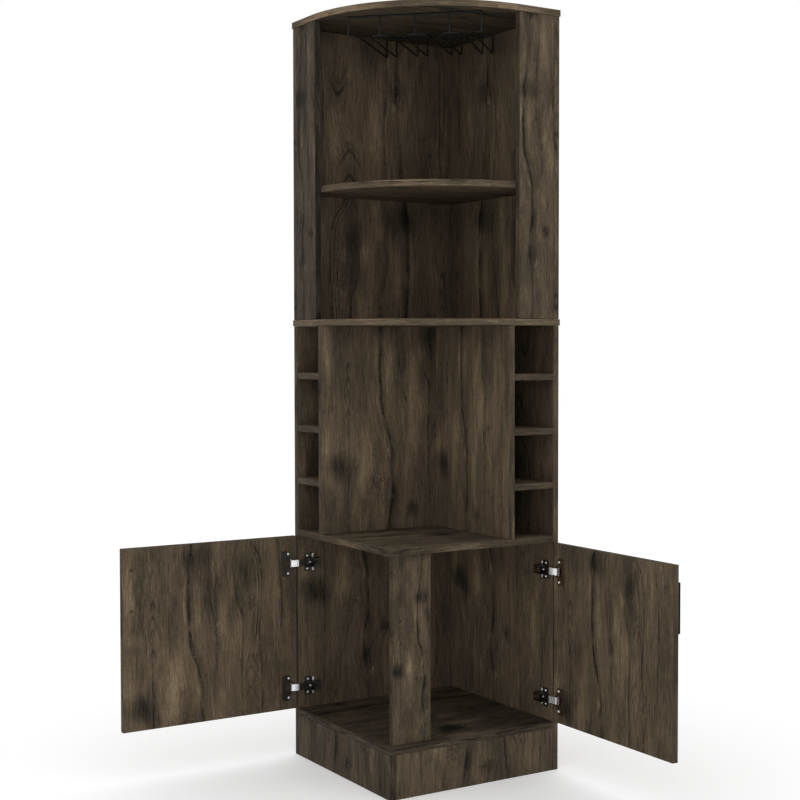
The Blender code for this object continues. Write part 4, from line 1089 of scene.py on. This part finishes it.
def rackPlaces():
    # the bars' depths and the two heights, read from the nodes
    home, wire, middle = rackFrame().inverted(), rack["wire"], "rack_runner_3"
    depths = [(home @ Vector(vertex.co)).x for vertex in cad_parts[middle].data.vertices]
    barHeight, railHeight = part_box("rack_front_bar")[1].z - wire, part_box(middle)[0].z + wire
    return min(depths) + wire, max(depths) - wire, barHeight, railHeight


def rackOffsets():
    # from the rack's middle line: the second noses, the outer noses, and the outer slots
    outerNose, sideNose, middleNose = rack["noses"][:3]
    side = middleNose + rack["slot"] + sideNose
    outer = side + sideNose + rack["slot"] + outerNose
    return side, outer, side + sideNose + rack["slot"] / 2


def runnerMiddles():
    side, outer, _ = rackOffsets()
    return [rack["aside"] + offset for offset in (-outer, -side, 0, side, outer)]


def wirePiece(name, routes, nodes):
    curve = bpy.data.curves.new(name, "CURVE")
    curve.dimensions = "3D"
    curve.bevel_depth, curve.bevel_resolution, curve.use_fill_caps = rack["wire"], 4, True
    for route in routes:
        line = curve.splines.new("POLY")
        line.points.add(len(route) - 1)
        for point, place in zip(line.points, route):
            point.co = (*(rackFrame() @ Vector(place)), 1.0)
        line.use_smooth = True
    curve.materials.append(metalFinish["blackWire"])
    thing = bpy.data.objects.new(name, curve)
    bpy.context.scene.collection.objects.link(thing)
    declare(thing, "cabinet", "black_metal", nodes)


def makeRackWires():
    look = rack
    front, rear, barHeight, railHeight = rackPlaces()
    wire, bend, aside = look["wire"], look["bend"], look["aside"]
    under, middles, outer = barHeight - wire, runnerMiddles(), rackOffsets()[1]

    def leg(across, nose):
        # down from the rear bar, round the bend and forward to the nose
        swing = [(rear - bend + x, across, railHeight + bend + z) for x, z in arc(0, 0, bend, 0, -90, 8)]
        return [(rear, across, under)] + swing + [(front + nose, across, railHeight)]

    def roundNose(middle, nose, start, end):
        steps = round(abs(end - start) / look["noseStep"])
        return [(x, y, railHeight) for x, y in arc(front + nose, middle, nose, start, end, steps)]

    for index, (middle, nose) in enumerate(zip(middles, look["noses"])):
        name, node = f"rack_wire_{index + 1}", f"rack_runner_{index + 1}"
        rightLeg, leftLeg = leg(middle + nose, nose), leg(middle - nose, nose)
        if index == 0:
            route = rightLeg + roundNose(middle, nose, 90, 180)[1:]
        elif index == len(middles) - 1:
            route = leftLeg + roundNose(middle, nose, 270, 180)[1:]
        else:
            route = rightLeg + roundNose(middle, nose, 90, 270)[1:-1] + leftLeg[::-1]
        wirePiece(name, [route], [node])
    half = outer + wire
    hangers = [[(front, middle, railHeight + wire), (front, middle, under)] for middle in middles]
    bar = [(front, aside - half, barHeight), (front, aside + half, barHeight)]
    wirePiece("rack_front_rail", [bar] + hangers, ["rack_front_bar"])
    half = outer - look["noses"][0] + 2 * wire
    bar = [(rear, aside - half, barHeight), (rear, aside + half, barHeight)]
    wirePiece("rack_rear_rail", [bar], ["rack_rear_bar"])


def makeRackWelds():
    # beads where the hangers meet the runners and the bar
    look, (front, _, barHeight, railHeight) = rack, rackPlaces()
    weld = [(along / 1000, out / 1000) for along, out in look["weld"]]
    upsideDown = [(-along, out) for along, out in weld][::-1]
    low, high = railHeight + look["wire"] + look["weldLift"], barHeight - look["wire"] - look["weldLift"]
    bm = bmesh.new()
    for middle in runnerMiddles():
        turned(bm, weld, (front, middle, low), (0, 0, 1), 16)
        turned(bm, upsideDown, (front, middle, high), (0, 0, 1), 16)
    finishPiece("rack_weld_beads", bm, rackFrame(), "cabinet", "blackWire", "black_metal",
                sharp=look["sharp"])


def makeRackTabs():
    # flat tabs on the bars, with a screw each up into the top board
    look, (front, rear, barHeight, _) = rack, rackPlaces()
    long, wide, thick = look["tab"]
    top, aside, reach = barHeight + look["wire"], look["aside"], rackOffsets()[2]
    bm, heads = bmesh.new(), bmesh.new()
    corner, (share, radius), (over, height) = look["tabCorner"], look["tabHole"], look["tabScrew"]
    ends = arc(long - corner, wide / 2 - corner, corner, 0, 90, 5)
    outline = [(0, -wide / 2)] + [(x, -y) for x, y in ends[::-1]] + ends + [(0, wide / 2)]
    hole = circle(long * share, 0, radius, 16)
    for depth, sign, across in ((front, 1, aside - reach), (front, 1, aside + reach), (rear, -1, aside)):
        stamp(bm, outline, [hole], (depth, across, top - thick), (0, 0, thick),
              lambda x, y, sign=sign: Vector((x * sign, y, 0)))
        head = (depth + sign * long * share, across, top - thick - over)
        crossHead(heads, head, (0, 0, -1), height=height)
    finishPiece("rack_tabs", bm, rackFrame(), "cabinet", "blackCoat", "black_metal", look["tabBevel"])
    nodes = ["rack_left_screw", "rack_right_screw", "rack_rear_screw"]
    finishPiece("rack_tab_screws", heads, rackFrame(), "cabinet", "darkNickel", "screw_steel", 0, nodes)


# Heads of the assembly screws, in their sunk holes at the back and on top

assemblyScrews = {
    "radius": 0.0043,
    "height": 0.0007,
    "sink": 0.0012,
    "slack": 0.0001,     # for points of one sunk ring
    "reach": 2.5,        # a ring's points lie nearer to each other than this many radii
    "fewest": 6,         # points that make a ring
    "lift": 0.00002,
}


def makeAssemblyScrews():
    # the heads' flat ends are found on the solids: rings of points just under a board's outer face
    look = assemblyScrews
    faces = [(0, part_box("lower_right_wall")[1].x), (1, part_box("lower_left_wall")[1].y)]
    faces += [(2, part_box(name)[1].z) for name in ("middle_shelf", "top_board")]
    for name, node in sorted(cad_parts.items()):
        if finishFor(name) != "oak" or "door" in name:
            continue
        bm = bmesh.new()
        for axis, face in faces:
            rings = []
            for point in (vertex.co for vertex in node.data.vertices):
                if abs(face - look["sink"] - point[axis]) > look["slack"]:
                    continue
                near = look["reach"] * look["radius"]
                home = next((ring for ring in rings if (ring[0] - point).length < near), None)
                if home is None:
                    rings.append([point.copy()])
                else:
                    home.append(point.copy())
            direction = Vector([float(k == axis) for k in range(3)])
            for ring in rings:
                if len(ring) >= look["fewest"]:
                    place = sum(ring, Vector()) / len(ring) + direction * look["lift"]
                    crossHead(bm, place, direction, look["radius"], look["height"])
        if bm.verts:
            finishPiece(f"{name}_screw_heads", bm, None, "cabinet", "darkNickel", "screw_steel")
        else:
            bm.free()


# The studio: a white room, a pale floor, a soft lamp

studio = {
    "floorSize": 30.0,
    "floorColour": paint(244, 244, 244),
    "floorRoughness": 0.8,
    "floorGlow": 0.20,
    "room": 0.95,
    "lampName": "keySoftbox",
    "lampPlace": (-2.4, -4.4, 1.5),
    "lampSize": 3.0,
    "lampPower": 9,
    "aim": (-0.35, -0.35, 0.9),
}


def seenPlainly(tree):
    # 1 for the camera, and for what metal and glass show
    path = addNode(tree, "LightPath").outputs
    seen = calc(tree, "MAXIMUM", path["Is Camera Ray"], path["Is Glossy Ray"])
    return calc(tree, "MAXIMUM", seen, path["Is Transmission Ray"])


def makeRoom():
    world = bpy.data.worlds.new("studioRoom")
    bpy.context.scene.world = world
    world.use_nodes = True
    tree = world.node_tree
    tree.nodes.clear()
    strength = addNode(tree, "Mix", {0: seenPlainly(tree), 2: studio["room"], 3: 1.0}, data_type="FLOAT")
    light = addNode(tree, "Background", {"Color": (1, 1, 1, 1), "Strength": strength.outputs[0]})
    output = addNode(tree, "OutputWorld")
    tree.links.new(light.outputs[0], output.inputs["Surface"])


def makeFloor():
    half = studio["floorSize"] / 2
    bm = bmesh.new()
    corners = ((-half, -half, 0), (half, -half, 0), (half, half, 0), (-half, half, 0))
    bm.faces.new([bm.verts.new(corner) for corner in corners])
    floor = newObject("studioFloor", bm)
    material, tree, shader = newMaterial("paleFloor")
    shader.inputs["Base Color"].default_value = studio["floorColour"]
    shader.inputs["Roughness"].default_value = studio["floorRoughness"]
    strength = calc(tree, "MULTIPLY", seenPlainly(tree), studio["floorGlow"])
    glow = addNode(tree, "Emission", {"Color": (1, 1, 1, 1), "Strength": strength})
    both = addNode(tree, "AddShader", {0: shader.outputs[0], 1: glow.outputs[0]})
    output = next(node for node in tree.nodes if node.type == "OUTPUT_MATERIAL")
    tree.links.new(both.outputs[0], output.inputs["Surface"])
    floor.data.materials.append(material)


def makeLamp():
    lamp = bpy.data.lights.new(studio["lampName"], "AREA")
    lamp.shape = "DISK"
    lamp.size = studio["lampSize"]
    lamp.energy = studio["lampPower"]
    softbox = bpy.data.objects.new(studio["lampName"], lamp)
    bpy.context.scene.collection.objects.link(softbox)
    softbox.location = studio["lampPlace"]
    softbox.rotation_euler = (Vector(studio["aim"]) - softbox.location).to_track_quat("-Z", "Y").to_euler()


photoCamera = {
    "place": (-2.1094, -3.2783, 1.0112),
    "tilt": 87.92,
    "heading": -33.03,
    "lens": 66.64,
    "sensor": 36.0,
    "slide": -0.0747,
}


def makeCamera():
    look = photoCamera
    data = bpy.data.cameras.new("photoCamera")
    data.lens, data.sensor_width, data.shift_x = look["lens"], look["sensor"], look["slide"]
    camera = bpy.data.objects.new("photoCamera", data)
    bpy.context.scene.collection.objects.link(camera)
    camera.location = look["place"]
    camera.rotation_euler = (math.radians(look["tilt"]), 0, math.radians(look["heading"]))
    bpy.context.scene.camera = camera


print("dressing the boards and fittings")
metalFinish = dressNodes()
print("fitting the hinges and handles")
for side in sides:
    makeHandle(side)
    for level in levels:
        makeHingeCup(side, level)
        makeHingeLink(side, level)
        makeHingeArm(side, level)
        makeHingePlate(side, level)
print("hanging the glass rack")
makeRackWires()
makeRackWelds()
makeRackTabs()
print("driving the assembly screws")
makeAssemblyScrews()
print("setting up the studio")
makeRoom()
makeFloor()
makeLamp()
makeCamera()
bpy.context.scene.view_settings.view_transform = "Standard"
